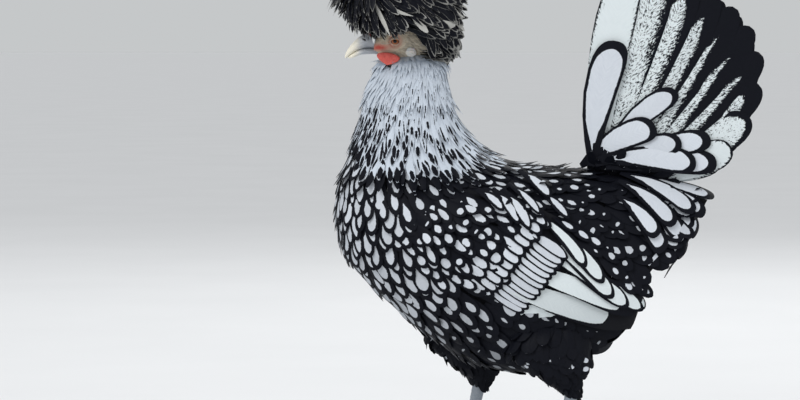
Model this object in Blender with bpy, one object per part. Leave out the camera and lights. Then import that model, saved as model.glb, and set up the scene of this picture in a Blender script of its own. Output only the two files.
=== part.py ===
"""Silver-laced Polish hen, life size, standing on the floor at z = 0.

The hen faces -X and its left side faces -Y. The feathered outline is what the
solids give: each solid reaches out to the tips of the plumage it stands for.
"""

from math import cos, pi, radians, sin

import bmesh
import bpy
from mathutils import Matrix, Vector

MM = 0.001
GAP = 0.3 * MM
CARVE_CLEARANCE = 0.42 * MM

# Sections from the throat to the vent, in millimetres: the point on the nape and
# back, the point on the breast and belly, half the width between the flanks, and
# how much fuller the section is towards the breast than towards the back.
BODY_SECTIONS = (
    (-92, 357, -133, 353, 14, -0.4),
    (-84, 349, -139, 347, 20, -0.34),
    (-79, 326, -149, 326, 27, -0.2),
    (-73, 306, -156, 303, 33, -0.08),
    (-61, 288, -165, 277, 41, 0.02),
    (-42, 273, -174, 253, 50, 0.08),
    (-14, 266, -177, 224, 57, 0.12),
    (7, 264, -172, 195, 61, 0.12),
    (27, 262, -156, 171, 62, 0.12),
    (45, 259, -132, 149, 61, 0.12),
    (63, 256, -100, 123, 58, 0.12),
    (81, 253, -64, 100, 54, 0.12),
    (99, 249, -23, 92, 50, 0.12),
    (117, 246, 20, 102, 45, 0.1),
    (130, 243, 55, 125, 38, 0.06),
    (138, 238, 82, 165, 28, 0),
    (136, 228, 110, 187, 13, 0),
)
NECK_BASE_SECTION = 4.5
CUSHION_FRONT_SECTION = 12.3
BODY_SEGMENTS = 24
BODY_STEP = 0.62

# Sections of the head from the beak to the back of the skull, top point first.
HEAD_SECTIONS = (
    (-142, 365, -143, 355, 6.5),
    (-135, 373, -136, 352, 11),
    (-125, 380, -125, 348, 14.5),
    (-113, 384, -112, 345, 16.5),
    (-101, 381, -99, 346, 15.5),
    (-91, 372, -91, 352, 9),
)
# Sections of the crest from its crown down to the tuft behind the ear.
CREST_SECTIONS = (
    (-130, 446, -108, 446, 9),
    (-149, 440, -90, 440, 29),
    (-165, 424, -74, 424, 45),
    (-174, 405, -66, 405, 53),
    (-176, 388, -64, 388, 55),
    (-171, 376, -65, 373, 51),
    (-161, 369, -69, 362, 44),
    (-141, 369, -74, 352, 34),
    (-106, 366, -80, 345, 20),
)
UPPER_BEAK_SECTIONS = (
    (-146, 370, -140, 357.5, 6.2),
    (-153, 367, -149, 359, 5.2),
    (-159.5, 362, -156.5, 357, 3.9),
    (-164, 356.5, -162, 353.5, 2.4),
    (-166.3, 351.8, -165.8, 350.2, 0.7),
)
LOWER_BEAK_SECTIONS = (
    (-139.6, 356.9, -139.5, 353.8, 5.0),
    (-148.5, 358.4, -148, 354.4, 4.2),
    (-156, 356.3, -155.5, 353.3, 3.0),
    (-161.5, 352.9, -161, 351.6, 1.2),
)

EYE_PLACE = (-125, 364.5)
EYE_RADIUS = 4.6
EYE_SET = 10.6
EARLOBE_PLACE = (-112, 356)
EARLOBE_SET = 16.6
EARLOBE_RADIUS = 4.2
EARLOBE_HALF_THICKNESS = 1.8
WATTLE_PLACE = (-130.5, 351)
WATTLE_SET = 13.6
WATTLE_TURN = 19
WATTLE_DROP = 8
WATTLE_HALF_LENGTH = 9.8
WATTLE_HALF_DEPTH = 5.6
WATTLE_HALF_THICKNESS = 1.6
COMB_PLACE = (-146.5, 369.5)
COMB_HORN_HEIGHT = 7
COMB_HORN_SPREAD = 5
COMB_HORN_LEAN = 0.25
COMB_RADIUS = 1.9
COMB_TIP_RADIUS = 0.7
COMB_STEPS = 4

WING_SHOULDER = (-124, 222)
WING_TIP = (81, 148)
# Along the folded wing: share of its length, top edge and lower edge measured
# across the line from shoulder to tip, how far out its middle lies and how thick
# half of it is.
WING_SECTIONS = (
    (0.00, 12, -10, 50, 5),
    (0.10, 34, -27, 57, 8),
    (0.25, 48, -32, 60, 9),
    (0.42, 52, -33, 60, 9),
    (0.60, 48, -33, 58, 9),
    (0.75, 38, -34, 54, 8),
    (0.88, 25, -29, 47, 6),
    (0.96, 13, -18, 41, 3.6),
    (1.00, 4, -7, 37, 1.6),
)
WING_BOW = 9
WING_SEGMENTS = 14

TAIL_FEATHERS = 7
TAIL_STEPS_PER_FEATHER = 4
TAIL_STEPS_ALONG = 3
TAIL_ROOT_FRONT = (35, 261.6)
TAIL_ROOT_BACK = (98, 250.4)
TAIL_CENTRE = (36, 255)
TAIL_LONG = 181
TAIL_SHORT = 98
TAIL_EVEN_SHARE = 0.46
TAIL_SHORTENING_CURVE = 1.5
TAIL_BOW = 10
TAIL_NOTCH = 9
TAIL_FIRST_ANGLE = 86
TAIL_LAST_ANGLE = 3
TAIL_SPLAY_TOP = 1.5
TAIL_SPLAY_LOW = 17
TAIL_SPLAY_CURVE = 1.6
TAIL_HALF_PARTING = 0.5
TAIL_ROOT_HALF_THICKNESS = 4.5
TAIL_TIP_HALF_THICKNESS = 0.6

# A leg's own places: the hock, the ball of the foot and how far out they stand.
LEGS = {
    "left": {"side": -1, "hock": (19, 90), "ball": (10, 6)},
    "right": {"side": 1, "hock": (-53, 90), "ball": (-70, 6)},
}
LEG_SET = 34
# Rings of the thigh's fluff, top first: height, front x, back x and half width
# for each leg, the x values measured from the hock.
THIGH_RINGS = (
    (146, -16, 12, 8),
    (139, -37, 31, 20),
    (125, -46, 39, 25.5),
    (108, -37, 31, 22.5),
    (94, -24, 18, 16),
    (84, -14, 11, 11),
    (77, -9, 8, 8.4),
)
THIGH_SEGMENTS = 14
SHANK_RADII = (6.2, 5.2, 4.9, 5.2, 6.4)
# The ball of the foot under the shank: how far below its own middle, how far
# forward, and its radius, at its widest and at the sole.
BALL_RINGS = ((-3, -0.5, 7.4), (-6.4, -0.5, 5))
TOE_START = 6.5
TOE_RADIUS = 3.7
TOE_TAPER = 0.32
TOE_PAD = 0.1
TOE_SOLE_DEPTH = 0.35
TOE_STEPS_PER_JOINT = 3
TOES = {
    "middle": {"yaw": 0, "length": 60, "joints": 3, "rise": 0, "claw": 12},
    "inner": {"yaw": -38, "length": 44, "joints": 3, "rise": 0, "claw": 12},
    "outer": {"yaw": 38, "length": 46, "joints": 3, "rise": 0, "claw": 12},
    "hind": {"yaw": 196, "length": 21, "joints": 2, "rise": 9, "claw": 9},
}
CLAW_RADIUS = 2.1
CLAW_TAPER = 0.8
CLAW_ARCH = 1.1
CLAW_ARCH_TURN = 0.8 * pi
CLAW_TIP_HEIGHT = 0.9
CLAW_DROP_CURVE = 1.6
CLAW_STEPS = 4

# How far apart the rings of a wing, thigh or shank lie, counted in sections.
RING_STEP = 0.5
SHARP_ANGLE = 50

SILVER = (0.78, 0.80, 0.82)
LACED = (0.30, 0.31, 0.33)
BLACK = (0.012, 0.012, 0.014)
HORN = (0.62, 0.58, 0.50)
RED = (0.55, 0.06, 0.04)
SLATE = (0.17, 0.19, 0.22)
CLAW_HORN = (0.40, 0.37, 0.32)
IRIS = (0.30, 0.07, 0.02)
LOBE = (0.82, 0.80, 0.76)
FACE = (0.55, 0.42, 0.33)


def clear_scene():
    for thing in list(bpy.data.objects):
        bpy.data.objects.remove(thing, do_unlink=True)


def make_collection(name):
    collection = bpy.data.collections.new(name)
    bpy.context.scene.collection.children.link(collection)
    return collection


def make_material(name, colour, roughness):
    material = bpy.data.materials.new(name)
    material.use_nodes = True
    shader = material.node_tree.nodes["Principled BSDF"]
    shader.inputs["Base Color"].default_value = (*colour, 1)
    shader.inputs["Roughness"].default_value = roughness
    shader.inputs["Metallic"].default_value = 0
    return material


def between(sections, place):
    """Catmull-Rom value between sections, at a place counted in sections."""
    last = len(sections) - 1
    index = min(int(place), last - 1)
    t = place - index
    before = sections[max(index - 1, 0)]
    start = sections[index]
    end = sections[index + 1]
    after = sections[min(index + 2, last)]
    return [
        0.5
        * (
            2 * b
            + (c - a) * t
            + (2 * a - 5 * b + 4 * c - d) * t**2
            + (3 * b - 3 * c + d - a) * t**3
        )
        for a, b, c, d in zip(before, start, end, after)
    ]


def section_ring(values, segments):
    """A closed ring between an upper and a lower point, half_width out to the sides."""
    upper_x, upper_z, lower_x, lower_z, half_width = values[:5]
    fullness = values[5] if len(values) > 5 else 0
    upper = Vector((upper_x, 0, upper_z)) * MM
    lower = Vector((lower_x, 0, lower_z)) * MM
    centre = (upper + lower) / 2
    half_depth = (upper - lower) / 2
    ring = []
    for step in range(segments):
        angle = 2 * pi * step / segments
        out = half_width * MM * sin(angle) * (1 - fullness * cos(angle))
        ring.append(centre + half_depth * cos(angle) + Vector((0, out, 0)))
    return ring


def places(first, last, step):
    """Even places from first to last, about step apart."""
    count = max(1, round((last - first) / step))
    return [first + (last - first) * i / count for i in range(count + 1)]


def link_mesh(name, mesh_maker, material):
    """Links a new object whose mesh is what mesh_maker builds, faces pointing out."""
    work = bmesh.new()
    mesh_maker(work)
    bmesh.ops.recalc_face_normals(work, faces=work.faces)
    mesh = bpy.data.meshes.new(name)
    work.to_mesh(mesh)
    work.free()
    mesh.materials.append(material)
    mesh.shade_smooth()
    mesh.set_sharp_from_angle(angle=radians(SHARP_ANGLE))
    part = bpy.data.objects.new(name, mesh)
    PARTS.objects.link(part)
    return part


def loft(name, rings, material):
    """A closed body through rings of equal count, capped at both ends."""

    def build(work):
        rows = [[work.verts.new(point) for point in ring] for ring in rings]
        count = len(rows[0])
        for row, following in zip(rows, rows[1:]):
            for i in range(count):
                j = (i + 1) % count
                work.faces.new((row[i], row[j], following[j], following[i]))
        work.faces.new(rows[0])
        work.faces.new(rows[-1])

    return link_mesh(name, build, material)


def section_loft(name, sections, material, segments, step):
    rings = [
        section_ring(between(sections, place), segments)
        for place in places(0, len(sections) - 1, step)
    ]
    return loft(name, rings, material)


def tube(name, path, radii, material, segments=10, side=Vector((0, 1, 0))):
    """A round tube along a path of points, with a radius at each point."""
    rings = []
    for i, point in enumerate(path):
        ahead = path[min(i + 1, len(path) - 1)]
        behind = path[max(i - 1, 0)]
        along = (ahead - behind).normalized()
        across = (side - along * side.dot(along)).normalized()
        up = along.cross(across)
        rings.append(
            [
                point
                + radii[i] * cos(2 * pi * k / segments) * across
                + radii[i] * sin(2 * pi * k / segments) * up
                for k in range(segments)
            ]
        )
    return loft(name, rings, material)


def spheroid(name, place, radii, material, turn=Matrix(), segments=20, rings=12):
    """A stretched sphere, turned and then moved to its place."""

    def build(work):
        bmesh.ops.create_uvsphere(
            work, u_segments=segments, v_segments=rings, radius=1
        )
        stretch = Matrix.Diagonal((*radii, 1))
        bmesh.ops.transform(
            work, matrix=Matrix.Translation(place) @ turn @ stretch, verts=work.verts
        )

    return link_mesh(name, build, material)


def set_aside(guide):
    """Keeps an object as a guide among the cutters, not as a part."""
    for collection in list(guide.users_collection):
        collection.objects.unlink(guide)
    CUTTERS.objects.link(guide)
    guide.hide_render = True
    guide.display_type = "WIRE"


def grown_copy(source, clearance):
    """A hidden copy of a part, each face moved out by the clearance."""
    work = bmesh.new()
    work.from_mesh(source.data)
    work.normal_update()
    moves = [vertex.normal * vertex.calc_shell_factor() for vertex in work.verts]
    for vertex, move in zip(work.verts, moves):
        vertex.co += move * clearance
    mesh = bpy.data.meshes.new(source.name + "_grown")
    work.to_mesh(mesh)
    work.free()
    cutter = bpy.data.objects.new(mesh.name, mesh)
    set_aside(cutter)
    return cutter


def carve(part, *neighbours, solver="EXACT"):
    """Takes the room of each neighbour, and a thin gap round it, out of a part."""
    for neighbour in neighbours:
        cut = part.modifiers.new("room_for_" + neighbour.name, "BOOLEAN")
        cut.operation = "DIFFERENCE"
        cut.solver = solver
        cut.object = grown_copy(neighbour, CARVE_CLEARANCE)


def flatten_sole(part):
    """Cuts a part off level with the floor and closes it with a flat face."""
    work = bmesh.new()
    work.from_mesh(part.data)
    cut = bmesh.ops.bisect_plane(
        work,
        geom=work.verts[:] + work.edges[:] + work.faces[:],
        plane_co=(0, 0, 0),
        plane_no=(0, 0, -1),
        clear_outer=True,
    )
    rim = [item for item in cut["geom_cut"] if isinstance(item, bmesh.types.BMEdge)]
    bmesh.ops.edgeloop_fill(work, edges=rim)
    bmesh.ops.recalc_face_normals(work, faces=work.faces)
    work.to_mesh(part.data)
    work.free()


def body_rings(first, last, start_shift=0.0):
    """Rings of the body between two places, the first moved on by start_shift."""
    stops = places(first, last, BODY_STEP)
    rings = [section_ring(between(BODY_SECTIONS, stop), BODY_SEGMENTS) for stop in stops]
    if start_shift:
        quarter = len(rings[0]) // 4
        normal = (rings[0][0] - rings[0][2 * quarter]).cross(
            rings[0][quarter] - rings[0][-quarter]
        )
        onward = sum(rings[1], Vector()) - sum(rings[0], Vector())
        normal = normal.normalized() * (1 if normal.dot(onward) > 0 else -1)
        rings[0] = [point + normal * start_shift for point in rings[0]]
    return rings


def make_body():
    """Neck, trunk and cushion, parted by thin gaps. Returns the neck and the undivided form."""
    last = len(BODY_SECTIONS) - 1
    neck = loft("neck", body_rings(0, NECK_BASE_SECTION), SILVER_FEATHER)
    loft(
        "trunk",
        body_rings(NECK_BASE_SECTION, CUSHION_FRONT_SECTION, GAP),
        LACED_FEATHER,
    )
    loft("cushion", body_rings(CUSHION_FRONT_SECTION, last, GAP), LACED_FEATHER)
    undivided = body_rings(0, NECK_BASE_SECTION)
    undivided += body_rings(NECK_BASE_SECTION, CUSHION_FRONT_SECTION)[1:]
    undivided += body_rings(CUSHION_FRONT_SECTION, last)[1:]
    whole = loft("body_form", undivided, LACED_FEATHER)
    set_aside(whole)
    return neck, whole


def make_head():
    head = section_loft("head", HEAD_SECTIONS, FACE_SKIN, 16, 0.62)
    upper = section_loft("beak_upper", UPPER_BEAK_SECTIONS, BEAK_HORN, 12, 0.5)
    lower = section_loft("beak_lower", LOWER_BEAK_SECTIONS, BEAK_HORN, 10, 1)
    crest = section_loft("crest", CREST_SECTIONS, BLACK_FEATHER, 18, 0.67)
    return head, upper, lower, crest


def make_comb():
    """Two short horns joined at the base of the beak, as a V."""
    base = Vector((COMB_PLACE[0], 0, COMB_PLACE[1])) * MM
    path = []
    radii = []
    for step in range(-COMB_STEPS, COMB_STEPS + 1):
        share = step / COMB_STEPS
        rise = COMB_HORN_HEIGHT * share**2
        offset = Vector((-rise * COMB_HORN_LEAN, COMB_HORN_SPREAD * share, rise))
        path.append(base + offset * MM)
        radius = COMB_RADIUS - (COMB_RADIUS - COMB_TIP_RADIUS) * abs(share) ** 1.5
        radii.append(radius * MM)
    return tube("comb", path, radii, COMB_RED, segments=6, side=Vector((1, 0, 0)))


def make_face_parts(side_name, side):
    eye = spheroid(
        f"eye_{side_name}",
        Vector((EYE_PLACE[0], side * EYE_SET, EYE_PLACE[1])) * MM,
        [EYE_RADIUS * MM] * 3,
        EYE_GLASS,
        turn=Matrix.Rotation(pi / 2, 4, "X"),
        segments=10,
        rings=7,
    )
    earlobe = spheroid(
        f"earlobe_{side_name}",
        Vector((EARLOBE_PLACE[0], side * EARLOBE_SET, EARLOBE_PLACE[1])) * MM,
        Vector((EARLOBE_RADIUS, EARLOBE_HALF_THICKNESS, EARLOBE_RADIUS)) * MM,
        EARLOBE_SKIN,
        segments=12,
        rings=6,
    )
    wattle = spheroid(
        f"wattle_{side_name}",
        Vector((WATTLE_PLACE[0], side * WATTLE_SET, WATTLE_PLACE[1])) * MM,
        Vector((WATTLE_HALF_LENGTH, WATTLE_HALF_THICKNESS, WATTLE_HALF_DEPTH)) * MM,
        WATTLE_SKIN,
        turn=Matrix.Rotation(radians(WATTLE_TURN) * side, 4, "Z")
        @ Matrix.Rotation(radians(WATTLE_DROP), 4, "Y"),
        segments=12,
        rings=6,
    )
    return eye, earlobe, wattle


def make_wing(side_name, side):
    """A folded wing: a bowed lens laid along the flank from shoulder to tip."""
    shoulder = Vector((WING_SHOULDER[0], 0, WING_SHOULDER[1])) * MM
    tip = Vector((WING_TIP[0], 0, WING_TIP[1])) * MM
    across = Vector((0, -1, 0)).cross((tip - shoulder).normalized())
    rings = []
    for place in places(0, len(WING_SECTIONS) - 1, RING_STEP):
        share, top, low, out, thick = between(WING_SECTIONS, place)
        middle = (top + low) / 2
        half = (top - low) / 2
        ring = []
        for step in range(WING_SEGMENTS):
            angle = 2 * pi * step / WING_SEGMENTS
            rise = middle + half * cos(angle)
            reach = out - WING_BOW * cos(angle) ** 2 + thick * sin(angle)
            point = shoulder.lerp(tip, share) + across * rise * MM
            point.y = side * reach * MM
            ring.append(point)
        rings.append(ring)
    return loft(f"wing_{side_name}", rings, LACED_FEATHER)


def tail_edge(share):
    """The root point, tip point and outward lean of the fan, front edge at share 0."""
    root = Vector(TAIL_ROOT_FRONT).lerp(Vector(TAIL_ROOT_BACK), share)
    angle = radians(TAIL_FIRST_ANGLE + (TAIL_LAST_ANGLE - TAIL_FIRST_ANGLE) * share)
    past_even = max(0.0, (share - TAIL_EVEN_SHARE) / (1 - TAIL_EVEN_SHARE))
    shortening = past_even**TAIL_SHORTENING_CURVE
    reach = TAIL_LONG - (TAIL_LONG - TAIL_SHORT) * shortening
    notch = TAIL_NOTCH * (1 - abs(sin(pi * share * TAIL_FEATHERS))) ** 2
    tip = Vector(TAIL_CENTRE) + Vector((cos(angle), sin(angle))) * (reach - notch)
    splay_range = TAIL_SPLAY_LOW - TAIL_SPLAY_TOP
    lean = TAIL_SPLAY_TOP + splay_range * share**TAIL_SPLAY_CURVE
    return root, tip, radians(lean)


def make_tail(side_name, side):
    """Half of the tented tail fan, from just over the back out to the feather tips."""
    steps_across = TAIL_FEATHERS * TAIL_STEPS_PER_FEATHER
    half_range = TAIL_ROOT_HALF_THICKNESS - TAIL_TIP_HALF_THICKNESS
    rows = []
    for i in range(steps_across + 1):
        share = i / steps_across
        root, tip, lean = tail_edge(share)
        row = []
        for j in range(TAIL_STEPS_ALONG + 1):
            along = j / TAIL_STEPS_ALONG
            bow = TAIL_BOW * sin(pi * along) * (1 - share) ** 2
            place = root.lerp(tip, along) + Vector((-bow, 0))
            reach = (tip - root).length * along
            half = TAIL_TIP_HALF_THICKNESS + half_range * (1 - along) ** 2
            out = TAIL_HALF_PARTING + half + reach * sin(lean)
            row.append((place, out, half))
        rows.append(row)

    def build(work):
        outer = [
            [work.verts.new(Vector((p.x, side * (o + h), p.y)) * MM) for p, o, h in row]
            for row in rows
        ]
        inner = [
            [work.verts.new(Vector((p.x, side * (o - h), p.y)) * MM) for p, o, h in row]
            for row in rows
        ]
        for sheet in (outer, inner):
            for row, following in zip(sheet, sheet[1:]):
                for j in range(TAIL_STEPS_ALONG):
                    work.faces.new((row[j], row[j + 1], following[j + 1], following[j]))
        rims = (
            ([row[0] for row in outer], [row[0] for row in inner]),
            ([row[-1] for row in outer], [row[-1] for row in inner]),
            (outer[0], inner[0]),
            (outer[-1], inner[-1]),
        )
        for near, far in rims:
            for k in range(len(near) - 1):
                work.faces.new((near[k], near[k + 1], far[k + 1], far[k]))
        bmesh.ops.triangulate(work, faces=work.faces[:])

    return link_mesh(f"tail_{side_name}", build, SILVER_FEATHER)


def make_thigh(side_name, leg):
    hock_x = leg["hock"][0]
    rings = []
    for place in places(0, len(THIGH_RINGS) - 1, RING_STEP):
        height, front, back, half_width = between(THIGH_RINGS, place)
        centre = Vector((hock_x + (front + back) / 2, leg["side"] * LEG_SET, height))
        half_length = (back - front) / 2
        ring = []
        for step in range(THIGH_SEGMENTS):
            angle = 2 * pi * step / THIGH_SEGMENTS
            offset = Vector((half_length * cos(angle), half_width * sin(angle), 0))
            ring.append((centre + offset) * MM)
        rings.append(ring)
    return loft(f"thigh_{side_name}", rings, BLACK_FEATHER)


def make_shank(side_name, leg):
    """The scaled shank with the ball of the foot, flat where it meets the floor."""
    hock = Vector((leg["hock"][0], leg["side"] * LEG_SET, leg["hock"][1]))
    ball = Vector((leg["ball"][0], leg["side"] * LEG_SET, leg["ball"][1]))
    last = len(SHANK_RADII) - 1
    stations = [(*hock.lerp(ball, i / last), r) for i, r in enumerate(SHANK_RADII)]
    for drop, forward, radius in BALL_RINGS:
        stations.append((*(ball + Vector((forward, 0, drop))), radius))
    path = []
    radii = []
    for place in places(0, len(stations) - 1, RING_STEP):
        x, y, z, radius = between(stations, place)
        path.append(Vector((x, y, z)) * MM)
        radii.append(radius * MM)
    shank = tube(f"shank_{side_name}", path, radii, SLATE_SCALE)
    flatten_sole(shank)
    return shank


def toe_frame(leg, toe):
    """The point where a toe leaves the ball, and the flat direction it points in."""
    ball = Vector((leg["ball"][0], leg["side"] * LEG_SET, 0))
    yaw = radians(toe["yaw"]) * leg["side"]
    direction = Vector((-cos(yaw), sin(yaw), 0))
    return ball, direction


def make_toe(side_name, leg, toe_name, toe):
    """One toe, swollen at its joints and flat along its sole."""
    ball, direction = toe_frame(leg, toe)
    across = Vector((0, 0, 1)).cross(direction)
    samples = toe["joints"] * TOE_STEPS_PER_JOINT
    path = []
    radii = []
    for i in range(samples + 1):
        share = i / samples
        pad = TOE_PAD * cos(2 * pi * share * toe["joints"])
        radius = TOE_RADIUS * (1 - TOE_TAPER * share + pad)
        point = ball + direction * (TOE_START + toe["length"] * share)
        point.z = radius - TOE_SOLE_DEPTH + toe["rise"] * (1 - share) ** 2
        path.append(point * MM)
        radii.append(radius * MM)
    name = f"toe_{toe_name}_{side_name}"
    part = tube(name, path, radii, SLATE_SCALE, 8, side=across)
    flatten_sole(part)
    make_claw(f"claw_{toe_name}_{side_name}", leg, toe, path[-1].z / MM)
    return part


def make_claw(name, leg, toe, root_height):
    """The claw past a toe's end: arched, pointed, and flat where it meets the floor."""
    ball, direction = toe_frame(leg, toe)
    across = Vector((0, 0, 1)).cross(direction)
    path = []
    radii = []
    for i in range(CLAW_STEPS + 1):
        share = i / CLAW_STEPS
        reach = TOE_START + toe["length"] + GAP / MM + toe["claw"] * share
        drop = (root_height - CLAW_TIP_HEIGHT) * share**CLAW_DROP_CURVE
        point = ball + direction * reach
        point.z = root_height + CLAW_ARCH * sin(CLAW_ARCH_TURN * share) - drop
        path.append(point * MM)
        radii.append(CLAW_RADIUS * (1 - CLAW_TAPER * share**1.5) * MM)
    claw = tube(name, path, radii, CLAW, 6, side=across)
    flatten_sole(claw)


def make_hen():
    neck, body_form = make_body()
    head, beak_upper, beak_lower, crest = make_head()
    comb = make_comb()
    carve(neck, head)
    carve(comb, head, beak_upper)
    carve(beak_lower, head)
    carve(beak_upper, head)
    carve(crest, head, neck, comb, beak_upper, solver="MANIFOLD")
    for side_name, leg in LEGS.items():
        side = leg["side"]
        eye, earlobe, wattle = make_face_parts(side_name, side)
        carve(head, eye)
        carve(earlobe, head, neck)
        carve(wattle, head, neck, beak_lower, beak_upper)
        carve(crest, eye, earlobe, solver="MANIFOLD")
        wing = make_wing(side_name, side)
        carve(wing, body_form)
        make_tail(side_name, side)
        thigh = make_thigh(side_name, leg)
        shank = make_shank(side_name, leg)
        carve(thigh, body_form, wing, shank, solver="MANIFOLD")
        before = [shank]
        for toe_name, toe in TOES.items():
            part = make_toe(side_name, leg, toe_name, toe)
            carve(part, *before)
            before.append(part)


clear_scene()
PARTS = make_collection("Polish hen")
CUTTERS = make_collection("Cutters")
SILVER_FEATHER = make_material("silver feather", SILVER, 0.6)
LACED_FEATHER = make_material("laced feather", LACED, 0.6)
BLACK_FEATHER = make_material("black feather", BLACK, 0.5)
FACE_SKIN = make_material("face skin", FACE, 0.6)
BEAK_HORN = make_material("beak horn", HORN, 0.35)
COMB_RED = make_material("comb skin", RED, 0.5)
WATTLE_SKIN = make_material("wattle skin", RED, 0.5)
EARLOBE_SKIN = make_material("earlobe skin", LOBE, 0.55)
EYE_GLASS = make_material("eye", IRIS, 0.1)
SLATE_SCALE = make_material("slate scale", SLATE, 0.5)
CLAW = make_material("claw horn", CLAW_HORN, 0.4)
make_hen()
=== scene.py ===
# %% [markdown]
# # A silver-laced Polish hen
#
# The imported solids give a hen's outline at life size. This lesson dresses them as a
# museum model: one skin goes inside the outline, and thousands of vanes of mesh go
# over the skin, each white with the black lacing of the breed. All places are in
# millimetres, in the solids' own frame: the hen faces -X and its left side faces -Y.

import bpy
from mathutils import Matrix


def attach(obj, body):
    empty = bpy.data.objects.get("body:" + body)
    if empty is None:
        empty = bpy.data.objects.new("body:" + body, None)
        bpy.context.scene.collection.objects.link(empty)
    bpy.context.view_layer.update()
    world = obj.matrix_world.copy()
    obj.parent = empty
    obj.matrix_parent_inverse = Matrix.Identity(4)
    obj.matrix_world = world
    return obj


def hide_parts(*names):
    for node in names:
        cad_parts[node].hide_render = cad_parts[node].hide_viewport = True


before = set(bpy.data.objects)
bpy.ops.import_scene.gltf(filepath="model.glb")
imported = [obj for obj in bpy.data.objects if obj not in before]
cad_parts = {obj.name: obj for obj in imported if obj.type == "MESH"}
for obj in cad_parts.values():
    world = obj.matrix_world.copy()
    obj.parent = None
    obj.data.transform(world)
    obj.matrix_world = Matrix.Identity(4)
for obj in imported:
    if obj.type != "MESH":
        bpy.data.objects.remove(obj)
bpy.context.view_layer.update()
print("solids:", len(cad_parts))

# %% What the lesson needs
from math import atan2, cos, pi, radians, sin

import bmesh
import bpy
import numpy as np
from mathutils import Matrix, Vector

MM = 0.001
SIDES = {"left": -1, "right": 1}

# %% [markdown]
# ## Camera, light and floor
#
# The photo is a side view taken from a little above the back. A long lens keeps the
# sides parallel, as in the photo, so that one scale holds for the whole hen. The top
# of the crest, the tail's tips and the feet lie outside the frame, as they do there.

# %% Camera
IMAGE_WIDTH = 800
IMAGE_HEIGHT = 400
MM_PER_PIXEL = 0.82
ORIGIN_PIXEL_X = 547.5
ORIGIN_PIXEL_Y = 486
VIEW_DISTANCE = 2600
VIEW_ELEVATION = radians(3)
SENSOR_WIDTH = 36


def make_camera():
    lens = bpy.data.cameras.new("camera")
    lens.sensor_width = SENSOR_WIDTH
    lens.lens = SENSOR_WIDTH * VIEW_DISTANCE / (IMAGE_WIDTH * MM_PER_PIXEL)
    camera = bpy.data.objects.new("camera", lens)
    bpy.context.scene.collection.objects.link(camera)
    aim_x = (IMAGE_WIDTH / 2 - ORIGIN_PIXEL_X) * MM_PER_PIXEL
    aim_z = (ORIGIN_PIXEL_Y - IMAGE_HEIGHT / 2) * MM_PER_PIXEL
    back = -cos(VIEW_ELEVATION) * VIEW_DISTANCE
    rise = sin(VIEW_ELEVATION) * VIEW_DISTANCE
    camera.location = Vector((aim_x, back, aim_z + rise)) * MM
    camera.rotation_euler = (pi / 2 - VIEW_ELEVATION, 0, 0)
    bpy.context.scene.camera = camera
    return camera


print("lens:", round(make_camera().data.lens), "mm")

# %% [markdown]
# Three broad lamps stand in for a bright overcast sky. The strongest comes from high
# on the left, so that the lapping of the vanes shows, and the others fill the shade.

# %% Lamps
LAMPS = {
    # name: place in metres, size in metres, power in watts
    "key": ((-1.5, -2.0, 2.2), 1.5, 40),
    "fill": ((1.9, -1.7, 1.1), 1.8, 10),
    "rim": ((0.6, 2.0, 1.9), 1.4, 18),
}
LAMP_AIM = Vector((0, 0, 0.24))
SKY_STOPS = ((0.02, (0.70, 0.72, 0.73)), (0.3, (0.90, 0.91, 0.92)))
SKY_STRENGTH = 0.8


def make_lamps():
    for name, (place, size, power) in LAMPS.items():
        lamp = bpy.data.lights.new(name, "AREA")
        lamp.shape = "DISK"
        lamp.size = size
        lamp.energy = power
        holder = bpy.data.objects.new(name, lamp)
        holder.location = place
        aim = LAMP_AIM - Vector(place)
        holder.rotation_euler = aim.to_track_quat("-Z", "Y").to_euler()
        bpy.context.scene.collection.objects.link(holder)


def make_sky():
    """A sky that is as bright at the horizon as the far floor, so that no edge shows."""
    sky = bpy.data.worlds.new("sky")
    sky.use_nodes = True
    nodes, links = sky.node_tree.nodes, sky.node_tree.links
    direction = nodes.new("ShaderNodeTexCoord")
    height = nodes.new("ShaderNodeSeparateXYZ")
    ramp = nodes.new("ShaderNodeValToRGB")
    for element, (place, colour) in zip(ramp.color_ramp.elements, SKY_STOPS):
        element.position = place
        element.color = (*colour, 1)
    links.new(direction.outputs["Generated"], height.inputs[0])
    links.new(height.outputs["Z"], ramp.inputs[0])
    links.new(ramp.outputs[0], nodes["Background"].inputs["Color"])
    nodes["Background"].inputs["Strength"].default_value = SKY_STRENGTH
    bpy.context.scene.world = sky


make_lamps()
make_sky()
bpy.context.scene.view_settings.view_transform = "Standard"
print("lamps:", len(LAMPS))

# %% [markdown]
# ## Wiring a finish
#
# A finish is a small tree of shader nodes. Wired by hand in Python, each node takes
# several lines and hides the sum that it stands for. So one class wraps a socket and
# lets arithmetic build the nodes, and another adds any other node in one call.


# %% Sockets that can be added and multiplied
class Wire:
    """A shader socket. Arithmetic on it adds Math nodes."""

    def __init__(self, finish, socket):
        self.finish = finish
        self.socket = socket

    def maths(self, operation, first, second, clamp=False):
        settings = {"operation": operation, "use_clamp": clamp}
        return self.finish.node("Math", {0: first, 1: second}, settings)

    def __add__(self, other):
        return self.maths("ADD", self, other)

    def __radd__(self, other):
        return self.maths("ADD", other, self)

    def __sub__(self, other):
        return self.maths("SUBTRACT", self, other)

    def __rsub__(self, other):
        return self.maths("SUBTRACT", other, self)

    def __mul__(self, other):
        return self.maths("MULTIPLY", self, other)

    def __rmul__(self, other):
        return self.maths("MULTIPLY", other, self)

    def __truediv__(self, other):
        return self.maths("DIVIDE", self, other)

    def __pow__(self, other):
        return self.maths("POWER", self, other)

    def kept_in_range(self):
        """The same number, held between 0 and 1."""
        return self.maths("ADD", self, 0, clamp=True)

    def larger(self, other):
        return self.maths("MAXIMUM", self, other)


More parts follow.
